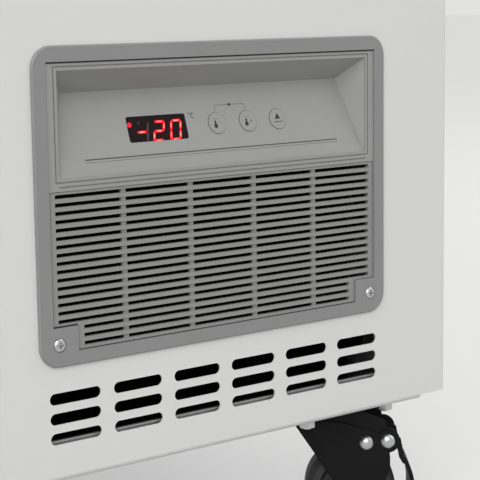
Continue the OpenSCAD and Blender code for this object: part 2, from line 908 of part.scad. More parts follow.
// Anything drawn on the control face: x from the bezel's left, z up the slope from the face's
// lower edge, -y out of the face
module on_face()
    translate([0, recess_front_y, -face_low_v]) rotate([-face_tilt, 0, 0]) children();

face_mid = 26.8;
window_low = 18.3;
window_r = 1.6;
button_r = button_d / 2;
lens_t = 1.6;
module pod_cavity() {
    slope = tan(face_tilt);
    back = wall_pod / cos(face_tilt);
    top_v = pod_v + wall_pod;
    low_v = pod_v + pod_h - wall_pod;
    shelf_y = face_top_y + back;
    along_x(pod_s + wall_pod, bezel_w - pod_s - wall_pod)
        polygon([
            [pod_back + 1, -top_v], [shelf_y, -top_v], [shelf_y, -face_top_v],
            [recess_front_y + back - (low_v - face_low_v) * slope, -low_v],
            [pod_back + 1, -low_v]
        ]);
}

// Ring of width groove_line round the recess, at distance t from it
module ledge_ring(t) {
    a = pod_s + recess_side - t;
    difference() {
        from_top(a - groove_line, ceiling_v - t - groove_line,
            bezel_w - a + groove_line, face_low_v + t + groove_line);
        from_top(a, ceiling_v - t, bezel_w - a, face_low_v + t);
    }
}

groove_line = 0.8;
module control_pod() {
    ledge_low = face_low_v + 4.6;
    color([0.62, 0.62, 0.62])
    at_bezel() difference() {
        front_plate(pod_front, pod_back)
            from_top(pod_s, pod_v, bezel_w - pod_s, pod_v + pod_h);
        pod_recess();
        pod_cavity();
        front_plate(pod_front - 1, pod_front + groove_line) {
            ledge_ring(1.8);
            from_top(pod_s + recess_side, ledge_low,
                bezel_w - pod_s - recess_side, ledge_low + groove_line);
        }
        on_face() {
            front_plate(-1, lens_t) translate([window_s, window_low])
                rounded_rect(window_w, window_h, window_r);
            translate([window_s + 2, -1, window_low + 2]) cube([window_w - 4, 20, window_h - 4]);
            for (i = [0 : 2])
                translate([button_s + i * button_pitch, -1, face_mid]) rotate([-90, 0, 0])
                    cylinder(r = button_r + gap, h = 8);
        }
    }
}

module display_lens() {
    color([0.05, 0.05, 0.06])
    at_bezel() on_face()
        front_plate(0, lens_t - tiny_gap)
            translate([window_s + tiny_gap, window_low + tiny_gap])
                rounded_rect(window_w - 2 * tiny_gap, window_h - 2 * tiny_gap, window_r);
}

board_y = wall_pod + 6;
module display_module() {
    color([0.10, 0.30, 0.18])
    at_bezel() on_face() {
        translate([window_s - 6, board_y, window_low - 2])
            cube([button_s + 2 * button_pitch + 12 - window_s + 6, 1.6, window_h + 6]);
        translate([window_s + 2 + gap, lens_t + gap, window_low + 2 + gap])
            cube([window_w - 4 - 2 * gap, board_y - lens_t - gap + eps, window_h - 4 - 2 * gap]);
        for (i = [0 : 2])
            translate([button_s + i * button_pitch, board_y, face_mid]) rotate([90, 0, 0])
                cylinder(r = 3, h = 6 - button_flange - button_stroke - 2 * gap);
    }
}

button_flange = 1.6;
module button(i) {
    color([0.60, 0.60, 0.60])
    at_bezel() on_face()
        translate([button_s + i * button_pitch, -0.4, face_mid]) rotate([-90, 0, 0]) {
            cylinder(r = button_r, h = 0.4 + wall_pod + gap + button_flange);
            translate([0, 0, 0.4 + wall_pod + gap])
                cylinder(r = button_r + 1.4, h = button_flange);
        }
}

module button_cooler() button(0);
module button_warmer() button(1);
module button_set() button(2);

module bezel_screws() {
    color([0.75, 0.76, 0.77])
    at_bezel()
        for (s = [screw_s, bezel_w - screw_s])
            translate([s, -bezel_proud, -screw_v]) rotate([-90, 0, 0]) difference() {
                union() {
                    translate([0, 0, -0.8]) cylinder(r1 = screw_head_r - 0.8, r2 = screw_head_r, h = 0.8);
                    cylinder(r = screw_head_r, h = screw_seat);
                    cylinder(r = screw_shank_r, h = bezel_proud + sheet_t + 6);
                }
                for (a = [0, 90]) rotate(a)
                    translate([-2, -0.5, -1.8]) cube([4, 1, 2.6]);
            }
}

// Machine compartment

foot_x = 62;
foot_y = 46;
foot_hole_r = 5;
discharge = [-20, -30];
stub_h = 26;

module compressor() {
    color([0.10, 0.10, 0.11])
    translate([compressor_x, compressor_y, compressor_z]) {
        translate([0, 0, 8]) rotate_extrude($fn = 64) polygon([
            [0, 0], [56, 0], [70, 8], [compressor_r, 24], [compressor_r, 120],
            [compressor_r - 4, 138], [62, 156], [40, 166], [0, shell_h - 8]
        ]);
        linear_extrude(3) difference() {
            rounded_mid(2 * foot_x + 30, 2 * foot_y + 30, 12);
            for (x = [-foot_x, foot_x], y = [-foot_y, foot_y]) translate([x, y]) circle(foot_hole_r);
        }
        cylinder(r = 50, h = 12);
        translate([discharge[0], discharge[1], shell_h - 20]) cylinder(r = 4.5, h = stub_h);
    }
}

// Rubber feet of the compressor, each with a bolt up from the base plate
module compressor_grommets() {
    color([0.12, 0.12, 0.12])
    for (x = [-foot_x, foot_x], y = [-foot_y, foot_y])
        translate([compressor_x + x, compressor_y + y, deck_z]) rotate_extrude() polygon([
            [0, 0], [11, 0], [11, 5], [8.5, 7], [11, 9], [11, 14 - eps],
            [foot_hole_r - gap, 14 - eps], [foot_hole_r - gap, 17.3], [9, 17.3], [9, 20], [0, 20]
        ]);
}

module terminal_cover() {
    w = 54;
    color([0.15, 0.15, 0.16])
    translate([compressor_x, compressor_y, compressor_z + 62]) difference() {
        translate([compressor_r - 12, -w / 2, 0]) cube([44, w, 70]);
        translate([0, 0, -1]) cylinder(r = compressor_r + gap, h = 72, $fn = 64);
        translate([compressor_r + 4, -w / 2 + 3, -1]) cube([24, w - 6, 68]);
    }
}

// Condenser: a block of fins on tubes that run to and fro through them
condenser_tube_r = 4;
condenser_rows = 4;
condenser_lead = 10;
row_pitch = condenser_h / condenser_rows;
condenser_x = fan_x - condenser_l / 2;
tube_y = condenser_y + condenser_w / 2;

module condenser_fins() {
    fin_t = 0.8;
    end_t = 2;
    fin_pitch = (condenser_l - end_t) / (fins - 1);
    for (i = [0 : fins - 1]) {
        t = i == 0 || i == fins - 1 ? end_t : fin_t;
        translate([condenser_x + i * fin_pitch, condenser_y, condenser_z])
            cube([t, condenser_w, condenser_h]);
    }
}

module condenser_tubes() {
    reach = condenser_l + 2 * condenser_lead;
    for (i = [0 : condenser_rows - 1])
        translate([condenser_x - condenser_lead, tube_y, condenser_z + (i + 0.5) * row_pitch])
            rotate([0, 90, 0]) cylinder(r = condenser_tube_r, h = reach);
    for (i = [0 : condenser_rows - 2]) {
        right = i % 2 == 0;
        x = condenser_x - condenser_lead + (right ? reach : 0);
        translate([x, tube_y, condenser_z + (i + 1) * row_pitch])
            rotate([90, 0, 0]) rotate(right ? -90 : 90)
                rotate_extrude(angle = 180) translate([row_pitch / 2, 0]) circle(condenser_tube_r);
    }
}

module condenser() {
    color([0.55, 0.57, 0.58]) {
        condenser_fins();
        condenser_tubes();
    }
}

// Shroud behind the condenser, with the ring in which the fan turns
module fan_shroud() {
    wide = condenser_l - 10;
    ring_r = fan_d / 2 + 6;
    color([0.18, 0.18, 0.19])
    difference() {
        union() {
            translate([fan_x - wide / 2, shroud_y, deck_z]) cube([wide, shroud_t, condenser_h + 8]);
            translate([fan_x, shroud_y, fan_z]) rotate([-90, 0, 0])
                cylinder(r = ring_r, h = 33, $fn = 96);
            for (a = [45, 135, 225, 315])
                translate([fan_x, shroud_y, fan_z]) rotate([0, a, 0])
                    translate([ring_r - 2, 27, -5]) cube([12, 7, 10]);
        }
        translate([fan_x, shroud_y - 1, fan_z]) rotate([-90, 0, 0])
            cylinder(r = ring_r - 3, h = 40, $fn = 96);
    }
}

// Fan motor with its shaft, and the spider of wires that holds it to the shroud's ring
module fan_motor() {
    ring_r = fan_d / 2 + 6;
    color([0.25, 0.26, 0.27])
    translate([fan_x, 0, fan_z]) {
        translate([0, motor_y, 0]) rotate([-90, 0, 0]) cylinder(r = 28, h = 48);
        translate([0, shroud_y + 12, 0]) rotate([-90, 0, 0])
            cylinder(r = shaft_r, h = motor_y - shroud_y - 12 + eps);
        for (a = [45, 135, 225, 315]) rotate([0, a, 0]) {
            translate([20, motor_y + 4, -4]) cube([ring_r - 14, 3, 8]);
            translate([ring_r + 3, shroud_y + 34, -4])
                cube([3, motor_y + 7 - shroud_y - 34, 8]);
        }
    }
}

module fan_blade() {
    hub_r = 18;
    hub_h = 24;
    hub_y = shroud_y + 14;
    pitch_angle = 30;
    color([0.75, 0.76, 0.77])
    translate([fan_x, hub_y, fan_z]) rotate([-90, 0, 0]) difference() {
        union() {
            cylinder(r = hub_r, h = hub_h);
            intersection() {
                for (i = [0 : blades - 1]) rotate(i * 360 / blades)
                    translate([hub_r - 3, 0, hub_h / 2]) rotate([pitch_angle, 0, 0])
                        translate([0, -24, -0.8]) cube([fan_d / 2, 48, 1.6]);
                cylinder(r = fan_d / 2, h = hub_h);
            }
        }
        translate([0, 0, -1]) cylinder(r = shaft_r + running, h = hub_h + 2);
    }
}

drier_x = comp_x + 246;
drier_y = 40;
drier_low = deck_z + 90;
module filter_drier() {
    color([0.72, 0.45, 0.30])
    translate([drier_x, drier_y, drier_low]) rotate_extrude() polygon([
        [0, 0], [pipe_r + 1, 0], [pipe_r + 1, 8], [10, 20], [10, drier_h - 20],
        [pipe_r + 1, drier_h - 8], [pipe_r + 1, drier_h], [0, drier_h]
    ]);
}

// Refrigerant pipes: compressor to condenser, condenser to drier, drier to the front tail of
// the evaporator, and the back tail of the evaporator to the compressor
module refrigerant_pipes() {
    stub_top = compressor_z + shell_h - 20 + stub_h;
    over = compressor_z + 220;
    side_x = comp_x + pipe_side;
    end_x = condenser_x - condenser_lead;
    low_row = condenser_z + row_pitch / 2;
    top_row = condenser_z + (condenser_rows - 0.5) * row_pitch;
    under_tail = coil_tail_z - 24;
    discharge_x = compressor_x + discharge[0];
    discharge_y = compressor_y + discharge[1];
    color([0.72, 0.45, 0.30]) {
        tube_run([
            [discharge_x, discharge_y, stub_top],
            [discharge_x, discharge_y, over],
            [side_x, discharge_y, over],
            [side_x, tube_y, over],
            [side_x, tube_y, top_row],
            [end_x, tube_y, top_row]
        ], pipe_r, pipe_bend);
        tube_run([
            [end_x, tube_y, low_row],
            [side_x, tube_y, low_row],
            [side_x, drier_y, low_row],
            [drier_x, drier_y, low_row],
            [drier_x, drier_y, drier_low]
        ], pipe_r, pipe_bend);
        tube_run([
            [drier_x, drier_y, drier_low + drier_h],
            [drier_x, drier_y, under_tail],
            [coil_end, drier_y, under_tail],
            [coil_end, -coil_y, under_tail],
            [coil_end, -coil_y, coil_tail_z]
        ], pipe_r, tail_bend);
        tube_run([
            [coil_end, coil_y, coil_tail_z],
            [coil_end, coil_y, under_tail],
            [coil_end, compressor_y, under_tail],
            [compressor_x, compressor_y, under_tail],
            [compressor_x, compressor_y, compressor_z + shell_h]
        ], pipe_r, tail_bend);
    }
}

// Rear grille over the opening of the back panel
module rear_grille() {
    rows = 12;
    cols = 3;
    flange_t = 3;
    col_w = (rear_w - 2 * rear_lap - 20) / cols;
    row_h = (rear_h - 2 * rear_lap - 14) / rows;
    color([0.30, 0.30, 0.31])
    difference() {
        union() {
            front_plate(half_w, half_w + flange_t)
                translate([rear_x, rear_z]) rounded_mid(rear_w, rear_h, 8);
            front_plate(half_w - 6, half_w + eps)
                translate([rear_x, rear_z])
                    rounded_mid(rear_w - 2 * rear_lap - 2 * gap, rear_h - 2 * rear_lap - 2 * gap, 4);
        }
        front_plate(half_w - 7, half_w + flange_t + 1)
            translate([rear_x - cols * col_w / 2, rear_z - rows * row_h / 2])
                for (i = [0 : cols - 1], j = [0 : rows - 1])
                    translate([i * col_w + 3, j * row_h + 2.5]) square([col_w - 6, row_h - 5]);
    }
}

// Mains inlet of the usual three-pin kind, let into the back panel
module power_inlet() {
    deep = 24;
    color([0.08, 0.08, 0.08])
    difference() {
        union() {
            front_plate(half_w - deep, half_w + 1)
                translate([inlet_x, inlet_z])
                    square([inlet_w - 2 * gap, inlet_h - 2 * gap], center = true);
            front_plate(half_w, half_w + 2)
                translate([inlet_x, inlet_z]) rounded_mid(inlet_w + 8, inlet_h + 8, 3);
        }
        difference() {
            front_plate(half_w - deep + 4, half_w + 3)
                translate([inlet_x, inlet_z]) square([inlet_w - 5, inlet_h - 6], center = true);
            for (p = [[-7, -2], [7, -2], [0, 3]])
                translate([inlet_x + p[0] - 2, half_w - deep + 3, inlet_z + p[1] - 1])
                    cube([4, 17, 2]);
        }
    }
}

// Drain of the tank: a tube through the floor whose free end takes a hose
module drain_tube() {
    flange_r = drain_r + 12;
    color([0.85, 0.85, 0.85])
    translate([drain_x, drain_y, 0]) difference() {
        union() {
            translate([0, 0, z0 - drain_out])
                cylinder(r = drain_r + drain_wall, h = drain_out);
            translate([0, 0, z0 - eps])
                cylinder(r = drain_r + drain_wall - 0.5, h = tank_z + tank_t + 1.5 - z0 + eps);
            translate([0, 0, tank_z + tank_t]) cylinder(r = flange_r, h = 1.5);
        }
        translate([0, 0, z0 - drain_out - 1])
            cylinder(r = drain_r, h = tank_z + 4 - z0 + drain_out);
    }
}

module drain_plug() {
    top = tank_z + tank_t + 1.5;
    color([0.10, 0.10, 0.10])
    translate([drain_x, drain_y, top]) rotate_extrude() polygon([
        [0, -14], [drain_r - 1, -14], [drain_r - gap, 0], [drain_r - gap, gap], [drain_r + 6, gap],
        [drain_r + 6, 2.5], [4, 3.5], [3, 8], [0, 8]
    ]);
}

// Flat grid of wires in plan, from [0, 0] to [w, h], with n bars across its length
module grid_face(w, h, n, m) {
    step_w = (w - wire) / n;
    step_h = (h - wire) / m;
    difference() {
        square([w, h]);
        for (i = [0 : n - 1], j = [0 : m - 1])
            translate([i * step_w + wire, j * step_h + wire]) square([step_w - wire, step_h - wire]);
    }
}

// Wire grids that keep goods off the floor and off the step
module floor_grids() {
    side = 12;
    color([0.92, 0.92, 0.92]) {
        for (g = [[-tank_x, step_x, tank_z, 26], [step_x + wall_t / 4, tank_x, step_z, 9]]) {
            x = g[0] + side + tank_t;
            w = g[1] - g[0] - 2 * (side + tank_t);
            y = -tank_y + side + tank_t;
            h = 2 * (tank_y - side - tank_t);
            z = g[2] + tank_t + gap;
            upright(z + grid_foot, z + grid_foot + wire)
                translate([x, y]) difference() {
                    grid_face(w, h, g[3], 3);
                    if (g[2] == tank_z)
                        translate([drain_x - x, drain_y - y]) circle(drain_r + 16);
                }
            for (px = [x, x + w - wire], py = [y, y + h - wire])
                translate([px, py, z]) cube([wire, wire, grid_foot + 1]);
        }
    }
}

// Upright wire divider across the tank, its lower edge on the floor grid
divider_h = 380;
divider_z = tank_z + tank_t + gap + grid_foot + wire + gap;
module divider(x) {
    side = 3;
    w = 2 * (tank_y - tank_t - side);
    color([0.92, 0.92, 0.92])
    along_x(x - wire / 2, x + wire / 2)
        translate([-w / 2, divider_z]) grid_face(w, divider_h, 16, 3);
}

divider_gap = 170;
divider_mid = (-tank_x + step_x) / 2;
module divider_left() divider(divider_mid - divider_gap);
module divider_right() divider(divider_mid + divider_gap);

// Casters

module at_caster(sx, sy)
    translate([sx * swivel_x, sy * swivel_y, 0]) children();

// Parts that swivel; the front right caster stands turned, as in the photo
module at_swivel(sx, sy)
    at_caster(sx, sy) rotate(sx > 0 && sy < 0 ? front_right_turn : 0) children();

module caster_plates() {
    color([0.13, 0.13, 0.14])
    for (sx = [-1, 1], sy = [-1, 1]) at_caster(sx, sy) {
        upright(caster_z - plate_c_t, caster_z) difference() {
            rounded_mid(caster_plate, caster_plate, 6);
            for (x = [-1, 1], y = [-1, 1])
                translate([x * bolt_pitch / 2, y * bolt_pitch / 2]) circle(bolt_r + 0.5);
        }
        translate([0, 0, caster_z - plate_c_t - race_h])
            cylinder(r = race_r, h = race_h + eps);
        translate([0, 0, fork_top - fork_top_t - gap - 2])
            cylinder(r = pin_r, h = fork_top_t + 2 * gap + 2);
        translate([0, 0, fork_top - fork_top_t - gap - 3])
            cylinder(r = pin_r + 3, h = 3);
    }
}

// Bolts of the caster plates, with hexagon nuts below
bolt_r = 3;
nut_r = 5.6;
nut_h = 7;
bolt_end = 1;
module caster_bolts() {
    color([0.80, 0.80, 0.80])
    for (sx = [-1, 1], sy = [-1, 1], x = [-1, 1], y = [-1, 1])
        at_caster(sx, sy) translate([x * bolt_pitch / 2, y * bolt_pitch / 2, caster_z]) {
            translate([0, 0, -plate_c_t - nut_h]) cylinder(r = nut_r, h = nut_h, $fn = 6);
            translate([0, 0, -plate_c_t - nut_h - bolt_end])
                cylinder(r = bolt_r, h = nut_h + bolt_end + plate_c_t);
        }
}

// Outline of a fork's leg in the side view, from the swivel's axis, at true height
module leg_outline() {
    polygon([
        [-19.3, fork_top], [3.6, 57.2], [14, 41.3], [trail - 9, wheel_z - 9],
        [trail + 9, wheel_z - 9], [46, 28], [54.8, 50], [54.8, 58], corner_low, corner_high
    ]);
    translate([brake_x, brake_z]) circle(9);
    translate([trail, wheel_z]) circle(12);
}

// Lower part of a leg, pressed outwards, with a sloping upper edge
module pressed_outline() {
    polygon([
        [-15.5, 87], [4.8, 57], [15, 41.2], [trail - 8, wheel_z - 8],
        [trail + 8, wheel_z - 8], [45.2, 28.8], [53.8, 50.4], [53.8, 62], [46, 76.3],
        [20, 84.2]
    ]);
    translate([brake_x, brake_z]) circle(8);
    translate([trail, wheel_z]) circle(11);
}

// Domed head of a bolt with its flat side at z = 0
module dome_head(r) {
    steps = 5;
    rotate_extrude()
        polygon(concat([[0, 0], [0, -0.8 * r]],
            [for (i = [1 : steps]) [r * sin(90 * i / steps), -0.8 * r * cos(90 * i / steps)]]));
}

// Dome-headed bolt in the front leg, or its twin in the back one, with its head outwards
module dome_bolt(x, z, head_r, inside)
    translate([x, -fork_in - fork_t + tiny_gap, z]) rotate([-90, 0, 0]) {
        dome_head(head_r);
        translate([0, 0, -1]) cylinder(r = 3, h = 1 + fork_t + inside);
    }

// Fork with its axle and its dome-headed bolts
module fork(sx, sy) {
    color([0.13, 0.13, 0.14])
    at_swivel(sx, sy) {
        difference() {
            union() {
                upright(fork_top - fork_top_t, fork_top)
                    intersection() {
                        circle(fork_in + fork_t + 8, $fn = 64);
                        square([80, 2 * (fork_in + fork_t)], center = true);
                    }
                for (s = [0, 1]) mirror([0, s, 0]) {
                    front_plate(-fork_in - fork_t + press_step, -fork_in) leg_outline();
                    front_plate(-fork_in - fork_t, -fork_in - 1) pressed_outline();
                }
            }
            translate([0, 0, fork_top - fork_top_t - 1]) cylinder(r = pin_r + running, h = fork_top_t + 2);
            translate([trail, -fork_in - fork_t - 1, wheel_z]) rotate([-90, 0, 0])
                cylinder(r = axle_r + gap, h = 2 * (fork_in + fork_t + 1));
            for (p = [[dome_x, dome_z], [brake_x, brake_z]])
                translate([p[0], -fork_in - fork_t - 1, p[1]]) rotate([-90, 0, 0])
                    cylinder(r = 3 + gap, h = 2 * (fork_in + fork_t + 1));
        }
        for (s = [0, 1]) mirror([0, s, 0]) {
            dome_bolt(dome_x, dome_z, dome_r, 0);
            dome_bolt(brake_x, brake_z, dome_r, 2.4);
        }
        translate([trail, -fork_in - fork_t - 5, wheel_z]) rotate([-90, 0, 0])
            cylinder(r = axle_r, h = 2 * (fork_in + fork_t + 5));
        for (s = [0, 1]) mirror([0, s, 0])
            translate([trail, -fork_in - fork_t - 5, wheel_z]) rotate([-90, 0, 0])
                cylinder(r = 7, h = 5, $fn = 6);
    }
}

// Wheel with a rounded tread, a recessed disc and a hub that runs on the axle
module wheel(sx, sy) {
    half = wheel_w / 2;
    rim_r = wheel_d / 2;
    hub_half = fork_in - 0.4;
    color([0.16, 0.16, 0.17])
    at_swivel(sx, sy) translate([trail, 0, wheel_z]) rotate([90, 0, 0])
        rotate_extrude($fn = 96) polygon([
            [axle_r + running, -hub_half], [10, -hub_half], [12, -half + 5], [rim_r - 12, -half + 5],
            [rim_r - 9, -half], [rim_r - 4, -half], [rim_r - 1, -half + 3], [rim_r, -half + 7],
            [rim_r, half - 7], [rim_r - 1, half - 3], [rim_r - 4, half], [rim_r - 9, half],
            [rim_r - 12, half - 5], [12, half - 5], [10, hub_half], [axle_r + running, hub_half]
        ]);
}

// Brake pedal: two arms on the bolts of the fork, a curved band behind the wheel and a foot
// plate at its lower end
module brake(sx, sy) {
    arm_y = wheel_w / 2 + 0.7;
    arm_t = 2;
    band_t = 3;
    low_angle = 10;
    band_half = arm_y + arm_t / 2;
    foot_half = 11;
    foot_l = 14;
    plate_x = trail + band_r * cos(low_angle);
    plate_z = wheel_z - band_r * sin(low_angle);
    color([0.12, 0.12, 0.13])
    at_swivel(sx, sy) {
        for (s = [0, 1]) mirror([0, s, 0])
            front_plate(-arm_y - arm_t, -arm_y) difference() {
                union() {
                    translate([brake_x, brake_z]) circle(6);
                    polygon([
                        [brake_x + 3, brake_z - 5], [brake_x + 7, brake_z - 3],
                        [brake_x + 8.6, brake_z - 13], [brake_x + 11.5, brake_z - 18],
                        [brake_x + 13.6, brake_z - 17], [brake_x + 12.2, brake_z - 11.5],
                        [brake_x + 9.8, brake_z + 0.8],
                        [brake_x + 3, brake_z + 5.1]
                    ]);
                }
                translate([brake_x, brake_z]) circle(3 + running);
            }
        translate([trail, band_half, wheel_z]) rotate([90, 0, 0])
            rotate([0, 0, -low_angle]) rotate_extrude(angle = 45, $fn = 96)
                translate([band_r, 0]) square([band_t, 2 * band_half]);
        translate([plate_x, -foot_half, plate_z - band_t])
            cube([foot_l, 2 * foot_half, band_t + 0.5]);
    }
}

module fork_front_left() fork(-1, -1);
module fork_front_right() fork(1, -1);
module fork_back_left() fork(-1, 1);
module fork_back_right() fork(1, 1);
module wheel_front_left() wheel(-1, -1);
module wheel_front_right() wheel(1, -1);
module wheel_back_left() wheel(-1, 1);
module wheel_back_right() wheel(1, 1);
module brake_left() brake(-1, -1);
module brake_right() brake(1, -1);

front_panel();
back_panel();
left_end_panel();
right_end_panel();
base_pan();
chassis_rails();
compressor_base_plate();
compartment_sheet();
foam_insulation();
inner_tank();
evaporator_coil();
front_rail();
back_rail();
left_end_frame();
right_end_frame();
lid_glass_upper();
lid_glass_lower();
lid_frame_upper();
lid_frame_lower();
lid_handle_upper();
lid_handle_lower();
bezel_frame();
grille_insert();
control_pod();
display_lens();
display_module();
button_cooler();
button_warmer();
button_set();
bezel_screws();
compressor();
compressor_grommets();
terminal_cover();
condenser();
fan_shroud();
fan_motor();
fan_blade();
filter_drier();
refrigerant_pipes();
rear_grille();
power_inlet();
drain_tube();
drain_plug();
floor_grids();
divider_left();
divider_right();
caster_plates();
caster_bolts();
fork_front_left();
fork_front_right();
fork_back_left();
fork_back_right();
wheel_front_left();
wheel_front_right();
wheel_back_left();
wheel_back_right();
brake_left();
brake_right();
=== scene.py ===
"""Looks of the island freezer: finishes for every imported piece, the lit display, the printed
marks of the controls and the small fasteners. Metres, +Z up, front towards -Y."""

import json
import math

import bmesh
import bpy
from mathutils import Matrix, Vector


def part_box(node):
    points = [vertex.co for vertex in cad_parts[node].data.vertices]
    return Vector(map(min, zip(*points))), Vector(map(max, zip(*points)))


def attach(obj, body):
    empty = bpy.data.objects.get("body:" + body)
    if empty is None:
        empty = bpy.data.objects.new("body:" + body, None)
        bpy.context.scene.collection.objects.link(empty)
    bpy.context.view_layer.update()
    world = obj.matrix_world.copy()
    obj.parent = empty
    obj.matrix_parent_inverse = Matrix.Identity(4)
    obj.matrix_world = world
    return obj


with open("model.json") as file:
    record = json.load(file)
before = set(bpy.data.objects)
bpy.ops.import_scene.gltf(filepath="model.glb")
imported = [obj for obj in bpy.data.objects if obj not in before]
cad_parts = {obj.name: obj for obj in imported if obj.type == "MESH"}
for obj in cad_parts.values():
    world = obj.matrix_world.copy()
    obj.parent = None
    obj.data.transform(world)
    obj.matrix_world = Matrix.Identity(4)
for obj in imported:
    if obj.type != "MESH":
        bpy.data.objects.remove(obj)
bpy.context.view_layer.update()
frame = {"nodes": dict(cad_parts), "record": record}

MM = 0.001

# Camera of the photograph, solved from the rows and columns of the vents
CAMERA_PLACE = Vector((-64.9, -1165.4, 380.8)) * MM
CAMERA_YAW = math.radians(38.49)
CAMERA_PITCH = math.radians(-8.58)
CAMERA_ROLL = math.radians(-0.79)
PHOTO_SIDE = 480
FOCAL_PIXELS = 1569.5
SENSOR = 36.0

# Control face, measured up its slope from its lower edge and across from the bezel's left side
FACE_TILT = math.radians(18)
FACE_LOW = 78.25 * MM
BUTTON_UP = 26.8 * MM
BUTTON_DIAMETER = 13.6 * MM
BUTTON_PROUD = 0.4 * MM
LINK_UP = 38.7 * MM
LINE_ENDS = (38.3 * MM, 240.5 * MM)
LINE_UP = 9.9 * MM
DEGREE_PLACE = (121.5 * MM, 34.4 * MM)
PRINT_DEPTH = 0.06 * MM

# Marks on the buttons, measured from the button's middle
THERMOMETER_X = -1.5 * MM
STEM = (1.3 * MM, 3.6 * MM, 0.6 * MM)
BULB_UP = -1.9 * MM
BULB_RADIUS = 1.45 * MM
SIGN_PLACE = (2.3 * MM, -0.2 * MM)
LEVEL_SIGN = (1.7 * MM, 0.45 * MM)
UPRIGHT_SIGN = (0.6 * MM, 1.7 * MM)
TICK = (0.9 * MM, 0.35 * MM)
TICKS_ACROSS = (-2.0 * MM, -0.6 * MM, 0.8 * MM)
TICKS_UP = 2.9 * MM
ARROW_RADIUS = 2.7 * MM
ARROW_BLUNTED = 0.5 * MM
ARROW_PLACE = (-0.3 * MM, 1.2 * MM)
SET_LINE = (7.6 * MM, 0.8 * MM, 0.35 * MM)
SET_LINE_UP = -2.1 * MM

# Marks round the buttons
RING_OUTSIDE = 0.42 * MM
RING_LINE = 0.38 * MM
LINK_LINE = 0.35 * MM
LINK_GAP = 0.4 * MM
LINK_ROUNDED = 1.5 * MM
LINK_DOT = (2.5 * MM, 1.6 * MM, 0.7 * MM)
DEGREE_RADIUS = 0.65 * MM
DEGREE_LINE = 0.3 * MM
LETTER_RADIUS = 1.65 * MM
LETTER_LINE = 0.5 * MM
LETTER_OPENING = 0.85 * MM
LETTER_STRETCH = (0.85, 1, 1.1, 1)
LETTER_SHIFT = (2.3 * MM, -1.5 * MM)

# Joints of the bezel, measured from its left side and down from its top
RIM = 9.55 * MM
POD_LOW = 86.3 * MM
CORNER_TOP = 166.95 * MM
CORNER_WIDTH = 27.05 * MM
OPENING_LOW = 182.25 * MM
# Painted shade: width and depth of the dark strips that stand in for the shadow in the joints
GAP_SHADOW = 0.9 * MM
GAP_SHADOW_DEPTH = 0.25 * MM

# Painted highlight along the front edge of the compressor's base plate
LIP_START = 4 * MM
LIP_BEHIND = 4 * MM
LIP_DEPTH = 0.3 * MM
LIP_HEIGHT = 0.8 * MM
LIP_DOWN = 0.6 * MM

# Display: the window's lower edge, its digits and its two lamps
WINDOW_LOW = 18.5 * MM
DIGIT_HEIGHT = 13.5 * MM
DIGIT_WIDTH = 8.8 * MM
DIGIT_UP = 24.5 * MM
DIGIT_SLANT = math.radians(12.5)
DIGIT_PLACES = {"first": 83.3 * MM, "second": 96.15 * MM, "third": 109.05 * MM}
BAR_WIDTH = 1.55 * MM
BAR_GAP = 0.3 * MM
CORE_WIDTH = 0.45 * MM
UNLIT_SHIFT = 0.7 * MM
LAMP_PLACE = (74.9 * MM, 29.5 * MM)
LAMP_RADIUS = 1.5 * MM
SPARE_LAMP_PLACE = (81.8 * MM, 30.4 * MM)
SPARE_LAMP_RADIUS = 1.2 * MM
LAMP_DEPTH = 0.4 * MM
LAMP_EDGE = 0.18 * MM
LAMP_PROUD = 0.05 * MM

# Shares: of a long line's height for its rounded ends, of the bracket's line for the place of
# its cut, of a bar's width for its points, of a bar's length for its bright core, and of a
# dome's radius for its rise
LINE_ROUNDED = 0.4
LINK_OPEN = 1.5
BAR_POINT = 0.45
CORE_SHARE = 0.5
DOME_RISE = 0.82

# Screws of the rear grille, and their head and recess as shares of the head's radius
SCREW_RADIUS = 2.6 * MM
SCREW_INSET = 6 * MM
HEAD_DEPTH = 0.9
HEAD_EDGE = 0.45
RECESS_LENGTH = 1.2
RECESS_WIDTH = 0.24
RECESS_DEPTH = 0.5

# Casters: distances along the trail and heights above the floor
SWIVEL_X = 664 * MM
SWIVEL_Y = 330 * MM
FRONT_RIGHT_TURN = math.radians(-38.5)
LEG_OUTSIDE = 21.2 * MM
DOME_PLACES = ((37.6 * MM, 69.3 * MM), (52.8 * MM, 70.3 * MM))
DOME_RADIUS = 5.42 * MM
AXLE_PLACE = (27 * MM, 32.5 * MM)
AXLE_RADIUS = 7.15 * MM
AXLE_LENGTH = 5.15 * MM
AXLE_CHAMFER = 0.28 * MM
SMOOTH_BELOW = math.radians(35)

# Surroundings
FLOOR_SIZE = 60
FLOOR_GLOW = 0.44
WORLD_STRENGTH = 0.6


def linear(value):
    """One channel of a colour as a screen shows it, 0 to 255, in Blender's linear scale."""
    v = value / 255
    return v / 12.92 if v <= 0.04045 else ((v + 0.055) / 1.055) ** 2.4


def shade(red, green, blue):
    return (linear(red), linear(green), linear(blue), 1.0)


def scaled(colour, factor):
    return tuple(min(1.0, c * factor) for c in colour[:3]) + (1.0,)


# Finishes

PATCH_ENDS = (0.3, 0.7)
PATCH_DETAIL = 4.0
GLOSS_SPREAD = 0.12
GRAIN_DETAIL = 3.0
GRAIN_STRENGTH = 0.6
SPANGLE_SIZE = 9 * MM


def add_node(material, kind, **settings):
    node = material.node_tree.nodes.new(kind)
    for name, value in settings.items():
        node.inputs[name].default_value = value
    return node


